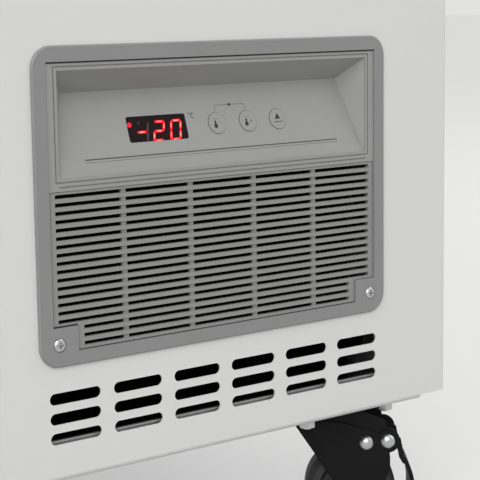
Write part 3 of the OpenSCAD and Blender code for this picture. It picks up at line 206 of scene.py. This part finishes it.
def finish(name, colour, roughness, metallic=0.0, mottle=0.04, mottle_size=0.08,
           grain="noise", grain_size=0.8 * MM, grain_depth=0.01 * MM, **sockets):
    """Painted, moulded or metal finish: the colour varies a little in soft patches, the gloss
    varies with it, and a fine grain stands on the surface."""
    material = bpy.data.materials.new(name)
    material.use_nodes = True
    link = material.node_tree.links.new
    shader = material.node_tree.nodes["Principled BSDF"]
    shader.inputs["Metallic"].default_value = metallic
    for socket, value in sockets.items():
        shader.inputs[socket.replace("_", " ")].default_value = value

    place = add_node(material, "ShaderNodeTexCoord")
    patches = add_node(material, "ShaderNodeTexNoise", Scale=1 / mottle_size, Detail=PATCH_DETAIL)
    tint = add_node(material, "ShaderNodeValToRGB")
    for end, position, way in zip(tint.color_ramp.elements, PATCH_ENDS, (-1, 1)):
        end.position = position
        end.color = scaled(colour, 1 + way * mottle)
    gloss = add_node(material, "ShaderNodeMapRange")
    gloss.inputs["To Min"].default_value = roughness * (1 - GLOSS_SPREAD)
    gloss.inputs["To Max"].default_value = min(1.0, roughness * (1 + GLOSS_SPREAD))
    if grain == "noise":
        relief = add_node(material, "ShaderNodeTexNoise", Scale=1 / grain_size,
                          Detail=GRAIN_DETAIL)
        height = relief.outputs["Fac"]
    else:
        relief = add_node(material, "ShaderNodeTexVoronoi", Scale=1 / grain_size)
        height = relief.outputs["Distance"]
    bump = add_node(material, "ShaderNodeBump", Strength=GRAIN_STRENGTH, Distance=grain_depth)

    link(place.outputs["Object"], patches.inputs["Vector"])
    link(place.outputs["Object"], relief.inputs["Vector"])
    link(patches.outputs["Fac"], tint.inputs["Fac"])
    link(tint.outputs["Color"], shader.inputs["Base Color"])
    link(patches.outputs["Fac"], gloss.inputs["Value"])
    link(gloss.outputs["Result"], shader.inputs["Roughness"])
    link(height, bump.inputs["Height"])
    link(bump.outputs["Normal"], shader.inputs["Normal"])
    return material


def find_node(material, kind):
    return next(n for n in material.node_tree.nodes if n.type == kind)


def spangled(name, colour, roughness):
    """Zinc-coated sheet: each crystal of the coating has its own brightness."""
    material = finish(name, colour, roughness, metallic=0.85, mottle=0.10,
                      grain="cells", grain_size=SPANGLE_SIZE, grain_depth=0.02 * MM)
    crystals = add_node(material, "ShaderNodeTexVoronoi", Scale=1 / SPANGLE_SIZE)
    grey = add_node(material, "ShaderNodeRGBToBW")
    place = find_node(material, "TEX_COORD")
    link = material.node_tree.links.new
    link(place.outputs["Object"], crystals.inputs["Vector"])
    link(crystals.outputs["Color"], grey.inputs["Color"])
    link(grey.outputs["Val"], find_node(material, "VALTORGB").inputs["Fac"])
    return material


def glowing(name, colour):
    """Lit bar of the display, a little unevenly bright."""
    material = finish(name, colour, 0.5, mottle=0.12, mottle_size=2.5 * MM,
                      Specular_IOR_Level=0.1, Emission_Strength=1.0)
    shader = material.node_tree.nodes["Principled BSDF"]
    tint = find_node(material, "VALTORGB")
    material.node_tree.links.new(tint.outputs["Color"], shader.inputs["Emission Color"])
    return material


FINISHES = {
    "panel_white": finish("painted_sheet", shade(217, 217, 216), 0.42, mottle=0.015,
                          mottle_size=0.35, grain_size=1.4 * MM, grain_depth=0.006 * MM),
    "galvanised": spangled("galvanised_sheet", shade(170, 170, 171), 0.5),
    "foam": finish("rigid_foam", shade(232, 214, 160), 0.9, mottle=0.12, mottle_size=0.03,
                   grain="cells", grain_size=1.6 * MM, grain_depth=0.3 * MM),
    "tank_white": finish("stucco_sheet", shade(226, 228, 230), 0.38, mottle=0.02,
                         grain="cells", grain_size=3.5 * MM, grain_depth=0.12 * MM),
    "copper": finish("copper_tube", shade(196, 122, 82), 0.34, metallic=1.0, mottle=0.18,
                     mottle_size=0.03, grain_size=2 * MM, grain_depth=0.01 * MM),
    "frame_grey": finish("frame_moulding", shade(128, 130, 132), 0.46, mottle=0.03,
                         mottle_size=0.2, grain_size=0.9 * MM, grain_depth=0.012 * MM),
    "glass": finish("toughened_glass", shade(240, 247, 245), 0.04, mottle=0.01,
                    mottle_size=0.4, grain_size=60 * MM, grain_depth=0.004 * MM,
                    Transmission_Weight=0.95, IOR=1.45),
    "lid_trim": finish("lid_moulding", shade(74, 76, 79), 0.44, mottle=0.04,
                       mottle_size=0.12, grain_size=0.9 * MM, grain_depth=0.012 * MM),
    "handle_dark": finish("handle_moulding", shade(48, 49, 51), 0.5, mottle=0.06,
                          mottle_size=0.05, grain="cells", grain_size=0.9 * MM,
                          grain_depth=0.03 * MM),
    "bezel_grey": finish("bezel_moulding", shade(135, 135, 135), 0.44, mottle=0.02,
                         mottle_size=0.06, grain_size=0.5 * MM, grain_depth=0.010 * MM),
    "grille_grey": finish("grille_moulding", shade(139, 139, 138), 0.46, mottle=0.025,
                          mottle_size=0.05, grain_size=0.5 * MM, grain_depth=0.010 * MM),
    "pod_grey": finish("pod_moulding", shade(148, 148, 147), 0.40, mottle=0.02,
                       mottle_size=0.06, grain_size=0.45 * MM, grain_depth=0.008 * MM),
    "lens_dark": finish("display_window", shade(26, 14, 16), 0.16, mottle=0.06,
                        mottle_size=0.02, grain_size=4 * MM, grain_depth=0.002 * MM,
                        Specular_IOR_Level=0.14),
    "board_green": finish("circuit_board", shade(38, 92, 58), 0.5, mottle=0.2,
                          mottle_size=0.004, grain="cells", grain_size=1.2 * MM),
    "button_grey": finish("button_moulding", shade(147, 147, 146), 0.40, mottle=0.02,
                          mottle_size=0.02, grain_size=0.45 * MM, grain_depth=0.008 * MM),
    "screw_steel": finish("nickel_plating", shade(186, 186, 186), 0.34, metallic=1.0,
                          mottle=0.08, mottle_size=0.003, grain_size=0.6 * MM,
                          grain_depth=0.006 * MM),
    "compressor_black": finish("baked_black", shade(30, 30, 32), 0.38, mottle=0.12,
                               mottle_size=0.04, grain_size=1.5 * MM, grain_depth=0.03 * MM),
    "rubber": finish("soft_rubber", shade(34, 34, 34), 0.72, mottle=0.15, mottle_size=0.01,
                     grain_size=0.7 * MM, grain_depth=0.03 * MM),
    "plastic_black": finish("black_moulding", shade(40, 40, 42), 0.52, mottle=0.08,
                            mottle_size=0.05, grain="cells", grain_size=0.8 * MM,
                            grain_depth=0.03 * MM),
    "condenser_steel": finish("fin_stock", shade(14, 14, 15), 0.8, mottle=0.14,
                              mottle_size=0.02, grain_size=1.2 * MM,
                              Specular_IOR_Level=0.1),
    "motor_dark": finish("motor_lacquer", shade(62, 64, 67), 0.4, metallic=0.3, mottle=0.1,
                         mottle_size=0.02, grain_size=1.0 * MM),
    "blade_metal": finish("rolled_aluminium", shade(190, 192, 194), 0.32, metallic=1.0,
                          mottle=0.06, mottle_size=0.03, grain_size=1.5 * MM),
    "drain_white": finish("white_moulding", shade(214, 214, 212), 0.45, mottle=0.04,
                          mottle_size=0.03, grain_size=0.7 * MM),
    "wire_white": finish("dipped_coating", shade(232, 233, 233), 0.24, mottle=0.03,
                         mottle_size=0.02, grain_size=5 * MM, grain_depth=0.15 * MM,
                         Coat_Weight=0.3, Coat_Roughness=0.1),
    "bolt_zinc": finish("bright_zinc", shade(186, 187, 188), 0.34, metallic=1.0,
                        mottle=0.08, mottle_size=0.004, grain_size=0.8 * MM,
                        grain_depth=0.01 * MM),
    "fork_black": finish("black_lacquer", shade(13, 13, 14), 0.55, mottle=0.15,
                         mottle_size=0.02, grain_size=1.2 * MM, grain_depth=0.03 * MM,
                         Specular_IOR_Level=0.15),
    "wheel_black": finish("wheel_tread", shade(42, 42, 43), 0.62, mottle=0.14,
                          mottle_size=0.015, grain="cells", grain_size=1.1 * MM,
                          grain_depth=0.05 * MM),
}
PRINT_GREY = finish("printed_ink", shade(96, 96, 97), 0.6, mottle=0.08, mottle_size=1 * MM)
PRINT_BOLD = finish("bold_ink", shade(40, 40, 41), 0.6, mottle=0.08, mottle_size=1 * MM)
PRINT_DARK = finish("printed_line", shade(66, 66, 68), 0.55, mottle=0.08, mottle_size=2 * MM)
# Painted highlight: the lighter colour of the base plate's edge stands in for the light it
# catches
LIP_HIGHLIGHT = finish("painted_lip_highlight", shade(170, 170, 169), 0.5, mottle=0.03, mottle_size=0.01)
LIT_RED = glowing("lit_red", shade(255, 24, 46))
LIT_CORE = glowing("lit_core", shade(255, 160, 125))
UNLIT_BAR = finish("unlit_bar", shade(76, 59, 58), 0.5, mottle=0.1, mottle_size=1 * MM,
                   Specular_IOR_Level=0.1)
UNLIT_LAMP = finish("unlit_lamp", shade(53, 47, 44), 0.5, mottle=0.1, mottle_size=1 * MM,
                    Specular_IOR_Level=0.1)

for sub in frame["record"]["subparts"]:
    packed = frame["nodes"][sub["node"]]
    packed.data.materials.clear()
    packed.data.materials.append(FINISHES[sub["material_slot"]])


# Modelling by hand

# Share of a face's normal that has to point along y for the face to count as a flat mark's
# front or back
FACING = 0.9

# Finer than Blender's own value, because the bars of the digits are small
CUT_THRESHOLD = 0.001 * MM


def start_fresh():
    if bpy.context.object and bpy.context.object.mode != "OBJECT":
        bpy.ops.object.mode_set(mode="OBJECT")
    bpy.ops.object.select_all(action="DESELECT")


def select_only(piece):
    start_fresh()
    bpy.context.view_layer.objects.active = piece
    piece.select_set(True)


def edit(piece, mode):
    select_only(piece)
    bpy.ops.object.mode_set(mode="EDIT")
    bpy.ops.mesh.select_mode(type=mode)
    bpy.ops.mesh.select_all(action="DESELECT")


def pick(piece, elements, test):
    """Selects the faces or edges of the piece in edit mode that pass the test."""
    mesh = bmesh.from_edit_mesh(piece.data)
    for element in getattr(mesh, elements):
        element.select_set(test(element))
    mesh.select_flush_mode()
    bmesh.update_edit_mesh(piece.data)


def bevelled(piece, test, offset, segments):
    """Bevels the edges that pass the test."""
    edit(piece, "EDGE")
    pick(piece, "edges", test)
    bpy.ops.mesh.bevel(offset=offset, segments=segments, affect="EDGES")
    start_fresh()
    return piece


def outlined(piece, line):
    """Leaves of a flat piece only a line along its outline."""
    edit(piece, "FACE")
    pick(piece, "faces", lambda f: abs(f.normal.y) > FACING)
    bpy.ops.mesh.inset(thickness=line, use_individual=True)
    bpy.ops.mesh.bridge_edge_loops()
    start_fresh()
    return piece


def cut_off(piece, point, normal):
    """Removes what lies beyond the plane and closes the cut."""
    edit(piece, "FACE")
    bpy.ops.mesh.select_all(action="SELECT")
    bpy.ops.mesh.bisect(plane_co=point, plane_no=normal, use_fill=True, clear_outer=True,
                        threshold=CUT_THRESHOLD)
    start_fresh()
    return piece


def cut_out(piece, tool):
    """Takes the tool's shape out of the piece."""
    select_only(piece)
    cut = piece.modifiers.new("cut", "BOOLEAN")
    cut.operation = "DIFFERENCE"
    cut.object = tool
    cut.solver = "EXACT"
    bpy.ops.object.modifier_apply(modifier=cut.name)
    bpy.data.objects.remove(tool)


def moved(piece, x, y, z):
    piece.data.transform(Matrix.Translation((x, y, z)))
    return piece


def copied(piece, matrix):
    twin = piece.copy()
    twin.data = piece.data.copy()
    twin.data.transform(matrix)
    bpy.context.scene.collection.objects.link(twin)
    return twin


def joined(pieces):
    start_fresh()
    for piece in pieces:
        piece.select_set(True)
    bpy.context.view_layer.objects.active = pieces[0]
    bpy.ops.object.join()
    return bpy.context.object


def done(piece, name, material):
    """Puts the piece's place into its mesh and gives it its name and finish."""
    select_only(piece)
    bpy.ops.object.transform_apply(location=True, rotation=True, scale=True)
    piece.name = name
    piece.data.name = name
    piece.data.materials.clear()
    piece.data.materials.append(material)


def block(width, depth, height):
    """Block round the origin: across x, through y and up z."""
    start_fresh()
    bpy.ops.mesh.primitive_cube_add(size=1, scale=(width, depth, height))
    bpy.ops.object.transform_apply(scale=True)
    return bpy.context.object


def cylinder(radius, depth, sides):
    """Cylinder round the origin, its axis through y."""
    start_fresh()
    bpy.ops.mesh.primitive_cylinder_add(vertices=sides, radius=radius, depth=depth,
                                        rotation=(math.pi / 2, 0, 0))
    bpy.ops.object.transform_apply(rotation=True)
    return bpy.context.object


def disc(radius, depth=PRINT_DEPTH, sides=32, edge=0.0):
    """Flat round mark, or a low dome where its front edge is bevelled."""
    piece = cylinder(radius, depth, sides)
    if edge:
        bevelled(piece, lambda e: all(v.co.y < 0 for v in e.verts), edge, segments=4)
    return piece


# Control face

# Marks are drawn flat, x from the bezel's left side, z up the slope from the face's lower edge
# and -y out of the face, and then laid on it
bezel_low, bezel_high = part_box("bezel_frame")
panel_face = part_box("front_panel")[0].y
face_place = Matrix.Translation((bezel_low.x, panel_face, bezel_high.z - FACE_LOW))
ON_FACE = face_place @ Matrix.Rotation(-FACE_TILT, 4, "X")
OFF_FACE = ON_FACE.inverted()


def across_face(node):
    """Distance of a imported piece's middle from the bezel's left side."""
    low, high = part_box(node)
    return (OFF_FACE @ ((low + high) / 2)).x


def flat(x, z, piece, proud=0.0):
    """Moves a flat mark to its place on the face."""
    return moved(piece, x, -proud, z)


def lay_on_face(piece, name, material, proud=0.0, body="cabinet"):
    """Ends a flat mark, moves it out of the face by the distance given and lays it on."""
    done(piece, name, material)
    moved(piece, 0, -proud, 0)
    piece.data.transform(ON_FACE)
    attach(piece, body)


def runs_through(edge):
    """True of an edge that runs from the front of a flat mark to its back."""
    return abs(edge.verts[0].co.y - edge.verts[1].co.y) > PRINT_DEPTH / 2


def stroke(width, height, rounded=0.0):
    """Flat printed bar, its corners rounded."""
    piece = block(width, PRINT_DEPTH, height)
    return bevelled(piece, runs_through, rounded, segments=4) if rounded else piece


def ring(radius, line, sides):
    """Flat printed ring."""
    return outlined(cylinder(radius, PRINT_DEPTH, sides), line)


# Display

# Each bar of a digit: its middle across and up, as shares of the digit's half size, and its way
BARS = {
    "a": (0, 1, "level"),
    "b": (1, 0.5, "upright"),
    "c": (1, -0.5, "upright"),
    "d": (0, -1, "level"),
    "e": (-1, -0.5, "upright"),
    "f": (-1, 0.5, "upright"),
    "g": (0, 0, "level"),
}
SHOWN = {"first": "g", "second": "abged", "third": "abcdef"}
UNLIT_BARS = "bc"


def level_bar(width, share):
    """Bar of a digit with pointed ends, lying level round the origin."""
    length = DIGIT_WIDTH - BAR_WIDTH - BAR_GAP
    piece = block(length * share, PRINT_DEPTH * 2, width)
    return bevelled(piece, runs_through, width * BAR_POINT, segments=1)


def digit(name, bars, x, material, width=BAR_WIDTH, share=1.0, proud=PRINT_DEPTH):
    """Slanted digit made of the named bars, with its middle at x, cut by the window's edge."""
    across = (DIGIT_WIDTH - BAR_WIDTH) / 2
    up = (DIGIT_HEIGHT - BAR_WIDTH) / 2
    level = level_bar(width, share)
    stretch = up / (2 * across)
    upright = Matrix.Rotation(math.pi / 2, 4, "Y") @ Matrix.Diagonal((stretch, 1, 1, 1))
    slant = Matrix.Identity(4)
    slant[0][2] = math.tan(DIGIT_SLANT)
    pieces = []
    for bar in bars:
        side, height, way = BARS[bar]
        turn = upright if way == "upright" else Matrix.Identity(4)
        place = Matrix.Translation((side * across, 0, height * up))
        piece = flat(x, DIGIT_UP, copied(level, slant @ place @ turn), proud)
        pieces.append(cut_off(piece, (0, 0, WINDOW_LOW), (0, 0, -1)))
    bpy.data.objects.remove(level)
    lay_on_face(joined(pieces), name, material)


for place, bars in SHOWN.items():
    digit("digit_" + place, bars, DIGIT_PLACES[place], LIT_RED)
    digit("core_" + place, bars, DIGIT_PLACES[place], LIT_CORE, CORE_WIDTH, CORE_SHARE,
          PRINT_DEPTH * 2)
digit("digit_first_unlit", UNLIT_BARS, DIGIT_PLACES["first"] + UNLIT_SHIFT, UNLIT_BAR)

for name, place, radius, material in (
    ("run_light", LAMP_PLACE, LAMP_RADIUS, LIT_RED),
    ("spare_light", SPARE_LAMP_PLACE, SPARE_LAMP_RADIUS, UNLIT_LAMP),
):
    light = disc(radius, LAMP_DEPTH, edge=LAMP_EDGE)
    lay_on_face(flat(*place, light), name, material, LAMP_PROUD)


# Printed marks


def thermometer():
    """Small thermometer, standing left of the button's middle."""
    stem = flat(THERMOMETER_X, 0, stroke(*STEM))
    bulb = flat(THERMOMETER_X, BULB_UP, disc(BULB_RADIUS))
    return [stem, bulb]


def fine_marks(*signs):
    """Three short bars above the thermometer, and the bars of the sign beside it."""
    marks = [flat(*SIGN_PLACE, stroke(*sign)) for sign in signs]
    return marks + [flat(x, TICKS_UP, stroke(*TICK)) for x in TICKS_ACROSS]


def arrow_mark():
    """Filled triangle with blunt corners, pointing up."""
    mark = disc(ARROW_RADIUS, sides=3)
    return flat(*ARROW_PLACE, bevelled(mark, runs_through, ARROW_BLUNTED, segments=3))


def print_button(node, name, marks, material):
    """Prints the marks on the button's front, and they ride on it."""
    whole = flat(across_face(node), BUTTON_UP, joined(marks))
    lay_on_face(whole, name, material, BUTTON_PROUD + PRINT_DEPTH / 2, node)


print_button("button_cooler", "cooler_thermometer", thermometer(), PRINT_BOLD)
print_button("button_cooler", "cooler_marks", fine_marks(LEVEL_SIGN), PRINT_GREY)
print_button("button_warmer", "warmer_thermometer", thermometer(), PRINT_BOLD)
print_button("button_warmer", "warmer_marks", fine_marks(LEVEL_SIGN, UPRIGHT_SIGN), PRINT_GREY)
print_button("button_set", "set_arrow", [arrow_mark()], PRINT_BOLD)
print_button("button_set", "set_line", [flat(0, SET_LINE_UP, stroke(*SET_LINE))], PRINT_GREY)


def button_rings():
    """Fine printed ring round each button."""
    rings = []
    for node in ("button_cooler", "button_warmer", "button_set"):
        piece = ring(BUTTON_DIAMETER / 2 + RING_OUTSIDE, RING_LINE, sides=56)
        rings.append(flat(across_face(node), BUTTON_UP, piece))
    lay_on_face(joined(rings), "button_rings", PRINT_GREY, PRINT_DEPTH / 2)


def linking_line():
    """Bracket that links the first two buttons, with a dot in its middle."""
    left = across_face("button_cooler")
    right = across_face("button_warmer")
    centre = (left + right) / 2
    low = BUTTON_UP + BUTTON_DIAMETER / 2 + LINK_GAP
    arch = stroke(right - left, LINK_UP - low)
    bevelled(arch, lambda e: runs_through(e) and e.verts[0].co.z > 0, LINK_ROUNDED,
             segments=5)
    outlined(arch, LINK_LINE)
    base = (low - LINK_UP) / 2 + LINK_LINE * LINK_OPEN
    cut_off(arch, (0, 0, base), (0, 0, -1))
    flat(centre, (low + LINK_UP) / 2, arch)
    lay_on_face(arch, "linking_line", PRINT_GREY, PRINT_DEPTH / 2)
    dot = flat(centre, LINK_UP - LINK_LINE / 2, stroke(*LINK_DOT))
    lay_on_face(dot, "linking_dot", PRINT_BOLD, PRINT_DEPTH)


def degree_mark():
    """Small ring and an open ring: degrees Celsius."""
    x, z = DEGREE_PLACE
    small = flat(x, z, ring(DEGREE_RADIUS, DEGREE_LINE, sides=20))
    letter = ring(LETTER_RADIUS, LETTER_LINE, sides=32)
    cut_off(letter, (LETTER_OPENING, 0, 0), (1, 0, 0))
    letter.data.transform(Matrix.Diagonal(LETTER_STRETCH))
    flat(x + LETTER_SHIFT[0], z + LETTER_SHIFT[1], letter)
    lay_on_face(joined([small, letter]), "degree_mark", PRINT_BOLD, PRINT_DEPTH / 2)


def face_lines():
    """Long line under the controls and the fainter one beneath it."""
    left, right = LINE_ENDS
    for name, height, drop, material in (
        ("long_line", 0.75 * MM, 0.0, PRINT_DARK),
        ("faint_line", 0.3 * MM, 1.7 * MM, PRINT_GREY),
    ):
        line = stroke(right - left, height, height * LINE_ROUNDED)
        flat((left + right) / 2, LINE_UP - drop, line)
        lay_on_face(line, name, material, PRINT_DEPTH / 2)


button_rings()
linking_line()
degree_mark()
face_lines()


# Painted shade in the bezel's joints, and a painted highlight on the base plate's edge


def strip(left, top, width, height, front):
    """Thin strip by its distances from the bezel's left side and down from its top, lying on
    a face whose place is front."""
    return moved(block(width, GAP_SHADOW_DEPTH, height), bezel_low.x + left + width / 2,
                 front - GAP_SHADOW_DEPTH / 2, bezel_high.z - top - height / 2)


def bezel_gap_shadows():
    """Painted shade: dark strips in the joints between the bezel and the parts in its opening,
    standing in for the shadow that falls into the gaps.
    """
    wide = bezel_high.x - bezel_low.x
    pod_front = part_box("control_pod")[0].y
    grille_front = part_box("grille_insert")[0].y
    whole = joined([
        strip(RIM, RIM, wide - 2 * RIM, GAP_SHADOW, pod_front),
        strip(RIM, POD_LOW, GAP_SHADOW, CORNER_TOP - POD_LOW, grille_front),
        strip(RIM, CORNER_TOP - GAP_SHADOW, CORNER_WIDTH - RIM, GAP_SHADOW, grille_front),
        strip(CORNER_WIDTH, CORNER_TOP, GAP_SHADOW, OPENING_LOW - CORNER_TOP, grille_front),
        strip(CORNER_WIDTH, OPENING_LOW - GAP_SHADOW / 2, wide - 2 * CORNER_WIDTH, GAP_SHADOW / 2,
              grille_front),
    ])
    done(whole, "bezel_gap_shadows", FINISHES["rubber"])
    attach(whole, "cabinet")


def lip_highlight():
    """Painted highlight: a lighter strip on top of the base plate's turned-up front, standing in
    for the light its edge catches.
    """
    low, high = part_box("compressor_base_plate")
    length = bezel_high.x - low.x
    piece = moved(block(length, LIP_DEPTH, LIP_HEIGHT), low.x + LIP_START + length / 2,
                  panel_face + LIP_BEHIND - LIP_DEPTH / 2, high.z - LIP_DOWN)
    done(piece, "lip_highlight", LIP_HIGHLIGHT)
    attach(piece, "cabinet")


bezel_gap_shadows()
lip_highlight()


# Small fasteners


def rear_screw(name, place):
    """Pan-head screw with a cross recess, looking backwards, its seat at the place given."""
    lift = SCREW_RADIUS * HEAD_DEPTH / 2
    head = disc(SCREW_RADIUS, SCREW_RADIUS * HEAD_DEPTH, sides=28,
                edge=SCREW_RADIUS * HEAD_EDGE)
    for width, height in ((RECESS_LENGTH, RECESS_WIDTH), (RECESS_WIDTH, RECESS_LENGTH)):
        arm = block(SCREW_RADIUS * width, SCREW_RADIUS * RECESS_DEPTH, SCREW_RADIUS * height)
        cut_out(head, moved(arm, 0, -lift, 0))
    head.data.transform(Matrix.Translation(place) @ Matrix.Translation((0, lift, 0))
                        @ Matrix.Rotation(math.pi, 4, "Z"))
    done(head, name, FINISHES["screw_steel"])
    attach(head, "cabinet")


rear_low, rear_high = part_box("rear_grille")
for i, (x, z) in enumerate((
    (rear_low.x + SCREW_INSET, rear_low.z + SCREW_INSET),
    (rear_high.x - SCREW_INSET, rear_low.z + SCREW_INSET),
    (rear_low.x + SCREW_INSET, rear_high.z - SCREW_INSET),
    (rear_high.x - SCREW_INSET, rear_high.z - SCREW_INSET),
)):
    rear_screw(f"rear_screw_{i + 1}", (x, rear_high.y, z))


def dome_cap():
    """Domed cap on the plane y = 0, looking towards -y."""
    start_fresh()
    bpy.ops.mesh.primitive_uv_sphere_add(segments=32, ring_count=20, radius=DOME_RADIUS)
    piece = bpy.context.object
    piece.data.transform(Matrix.Diagonal((1, DOME_RISE, 1, 1)))
    return cut_off(piece, (0, 0, 0), (0, 1, 0))


def axle_cap():
    """Hexagon head on the plane y = 0 with a chamfered rim, looking towards -y."""
    piece = cylinder(AXLE_RADIUS, AXLE_LENGTH, sides=6)
    piece.data.transform(Matrix.Rotation(math.pi / 6, 4, "Y"))
    bevelled(piece, lambda e: all(v.co.y < 0 for v in e.verts), AXLE_CHAMFER, segments=2)
    return moved(piece, 0, -AXLE_LENGTH / 2, 0)


def caster_caps(corner, side_x, side_y, turn):
    """Bright caps over the bolt heads and axle ends of one caster, on both its legs."""
    pieces = []
    for half_turn in (0, math.pi):
        for cap, places in ((dome_cap, DOME_PLACES), (axle_cap, (AXLE_PLACE,))):
            for along, height in places:
                piece = moved(cap(), 0, -LEG_OUTSIDE, 0)
                piece.data.transform(Matrix.Rotation(half_turn, 4, "Z"))
                pieces.append(moved(piece, along, 0, height))
    whole = joined(pieces)
    whole.data.transform(Matrix.Rotation(turn, 4, "Z"))
    moved(whole, side_x * SWIVEL_X, side_y * SWIVEL_Y, 0)
    done(whole, "bolt_caps_" + corner, FINISHES["bolt_zinc"])
    bpy.ops.object.shade_smooth_by_angle(angle=SMOOTH_BELOW)
    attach(whole, "caster_" + corner)


for corner_name, side_x, side_y, turn in (
    ("front_left", -1, -1, 0.0),
    ("front_right", 1, -1, FRONT_RIGHT_TURN),
    ("back_left", -1, 1, 0.0),
    ("back_right", 1, 1, 0.0),
):
    caster_caps(corner_name, side_x, side_y, turn)


# Floor, lamps and camera


def seen_rays(tree):
    """Output that is 1 for what the camera sees, directly or by way of gloss and glass."""
    path = tree.nodes.new("ShaderNodeLightPath")
    total = path.outputs["Is Camera Ray"]
    for name in ("Is Glossy Ray", "Is Transmission Ray"):
        highest = tree.nodes.new("ShaderNodeMath")
        highest.operation = "MAXIMUM"
        tree.links.new(total, highest.inputs[0])
        tree.links.new(path.outputs[name], highest.inputs[1])
        total = highest.outputs[0]
    return total


def pale_floor():
    """Pale to the eye, while it throws only a little light up on the object and keeps its
    shadow."""
    material = finish("pale_floor", shade(160, 160, 159), 0.9, mottle=0.01, mottle_size=1.0,
                      Emission_Color=(1, 1, 1, 1))
    tree = material.node_tree
    shader = tree.nodes["Principled BSDF"]
    tint = find_node(material, "VALTORGB")
    seen = seen_rays(tree)
    mix = tree.nodes.new("ShaderNodeMix")
    mix.data_type = "RGBA"
    mix.inputs["A"].default_value = shade(182, 182, 182)
    glow = tree.nodes.new("ShaderNodeMath")
    glow.operation = "MULTIPLY"
    glow.inputs[1].default_value = FLOOR_GLOW
    tree.links.new(seen, mix.inputs["Factor"])
    tree.links.new(tint.outputs["Color"], mix.inputs["B"])
    tree.links.new(mix.outputs["Result"], shader.inputs["Base Color"])
    tree.links.new(seen, glow.inputs[0])
    tree.links.new(glow.outputs[0], shader.inputs["Emission Strength"])
    return material


start_fresh()
bpy.ops.mesh.primitive_plane_add(size=FLOOR_SIZE, location=(0, 0, 0))
floor = bpy.context.object
floor.name = "floor"
floor.data.materials.append(pale_floor())


def lamp(name, place, aim, width, power):
    data = bpy.data.lights.new(name, "AREA")
    data.shape = "SQUARE"
    data.size = width
    data.energy = power
    light = bpy.data.objects.new(name, data)
    light.location = place
    light.rotation_euler = (Vector(aim) - Vector(place)).to_track_quat("-Z", "Y").to_euler()
    bpy.context.scene.collection.objects.link(light)


lamp("key_lamp", place=(-2.6, -3.0, 3.2), aim=(0.3, 0, 0.4), width=4.2, power=172)
lamp("side_lamp", place=(3.6, -1.2, 2.6), aim=(0, 0, 0.5), width=3.0, power=38)
lamp("back_lamp", place=(-1.0, 3.8, 3.0), aim=(0, 0, 0.5), width=3.6, power=55)


def surroundings():
    """Even light from all round, and a pale backdrop for the camera and for reflections."""
    world = bpy.data.worlds.new("studio")
    bpy.context.scene.world = world
    world.use_nodes = True
    tree = world.node_tree
    light = tree.nodes["Background"]
    light.inputs["Color"].default_value = (1, 1, 1, 1)
    light.inputs["Strength"].default_value = WORLD_STRENGTH
    backdrop = tree.nodes.new("ShaderNodeBackground")
    backdrop.inputs["Color"].default_value = shade(226, 226, 225)
    backdrop.inputs["Strength"].default_value = 1.0
    mix = tree.nodes.new("ShaderNodeMixShader")
    tree.links.new(seen_rays(tree), mix.inputs["Fac"])
    tree.links.new(light.outputs[0], mix.inputs[1])
    tree.links.new(backdrop.outputs[0], mix.inputs[2])
    tree.links.new(mix.outputs[0], tree.nodes["World Output"].inputs["Surface"])


surroundings()

camera_data = bpy.data.cameras.new("camera")
camera_data.sensor_width = SENSOR
camera_data.lens = FOCAL_PIXELS / PHOTO_SIDE * SENSOR
camera = bpy.data.objects.new("camera", camera_data)
camera.matrix_world = (
    Matrix.Translation(CAMERA_PLACE)
    @ Matrix.Rotation(-CAMERA_YAW, 4, "Z")
    @ Matrix.Rotation(math.pi / 2 + CAMERA_PITCH, 4, "X")
    @ Matrix.Rotation(CAMERA_ROLL, 4, "Z")
)
bpy.context.scene.collection.objects.link(camera)
bpy.context.scene.camera = camera
bpy.context.scene.view_settings.view_transform = "Standard"
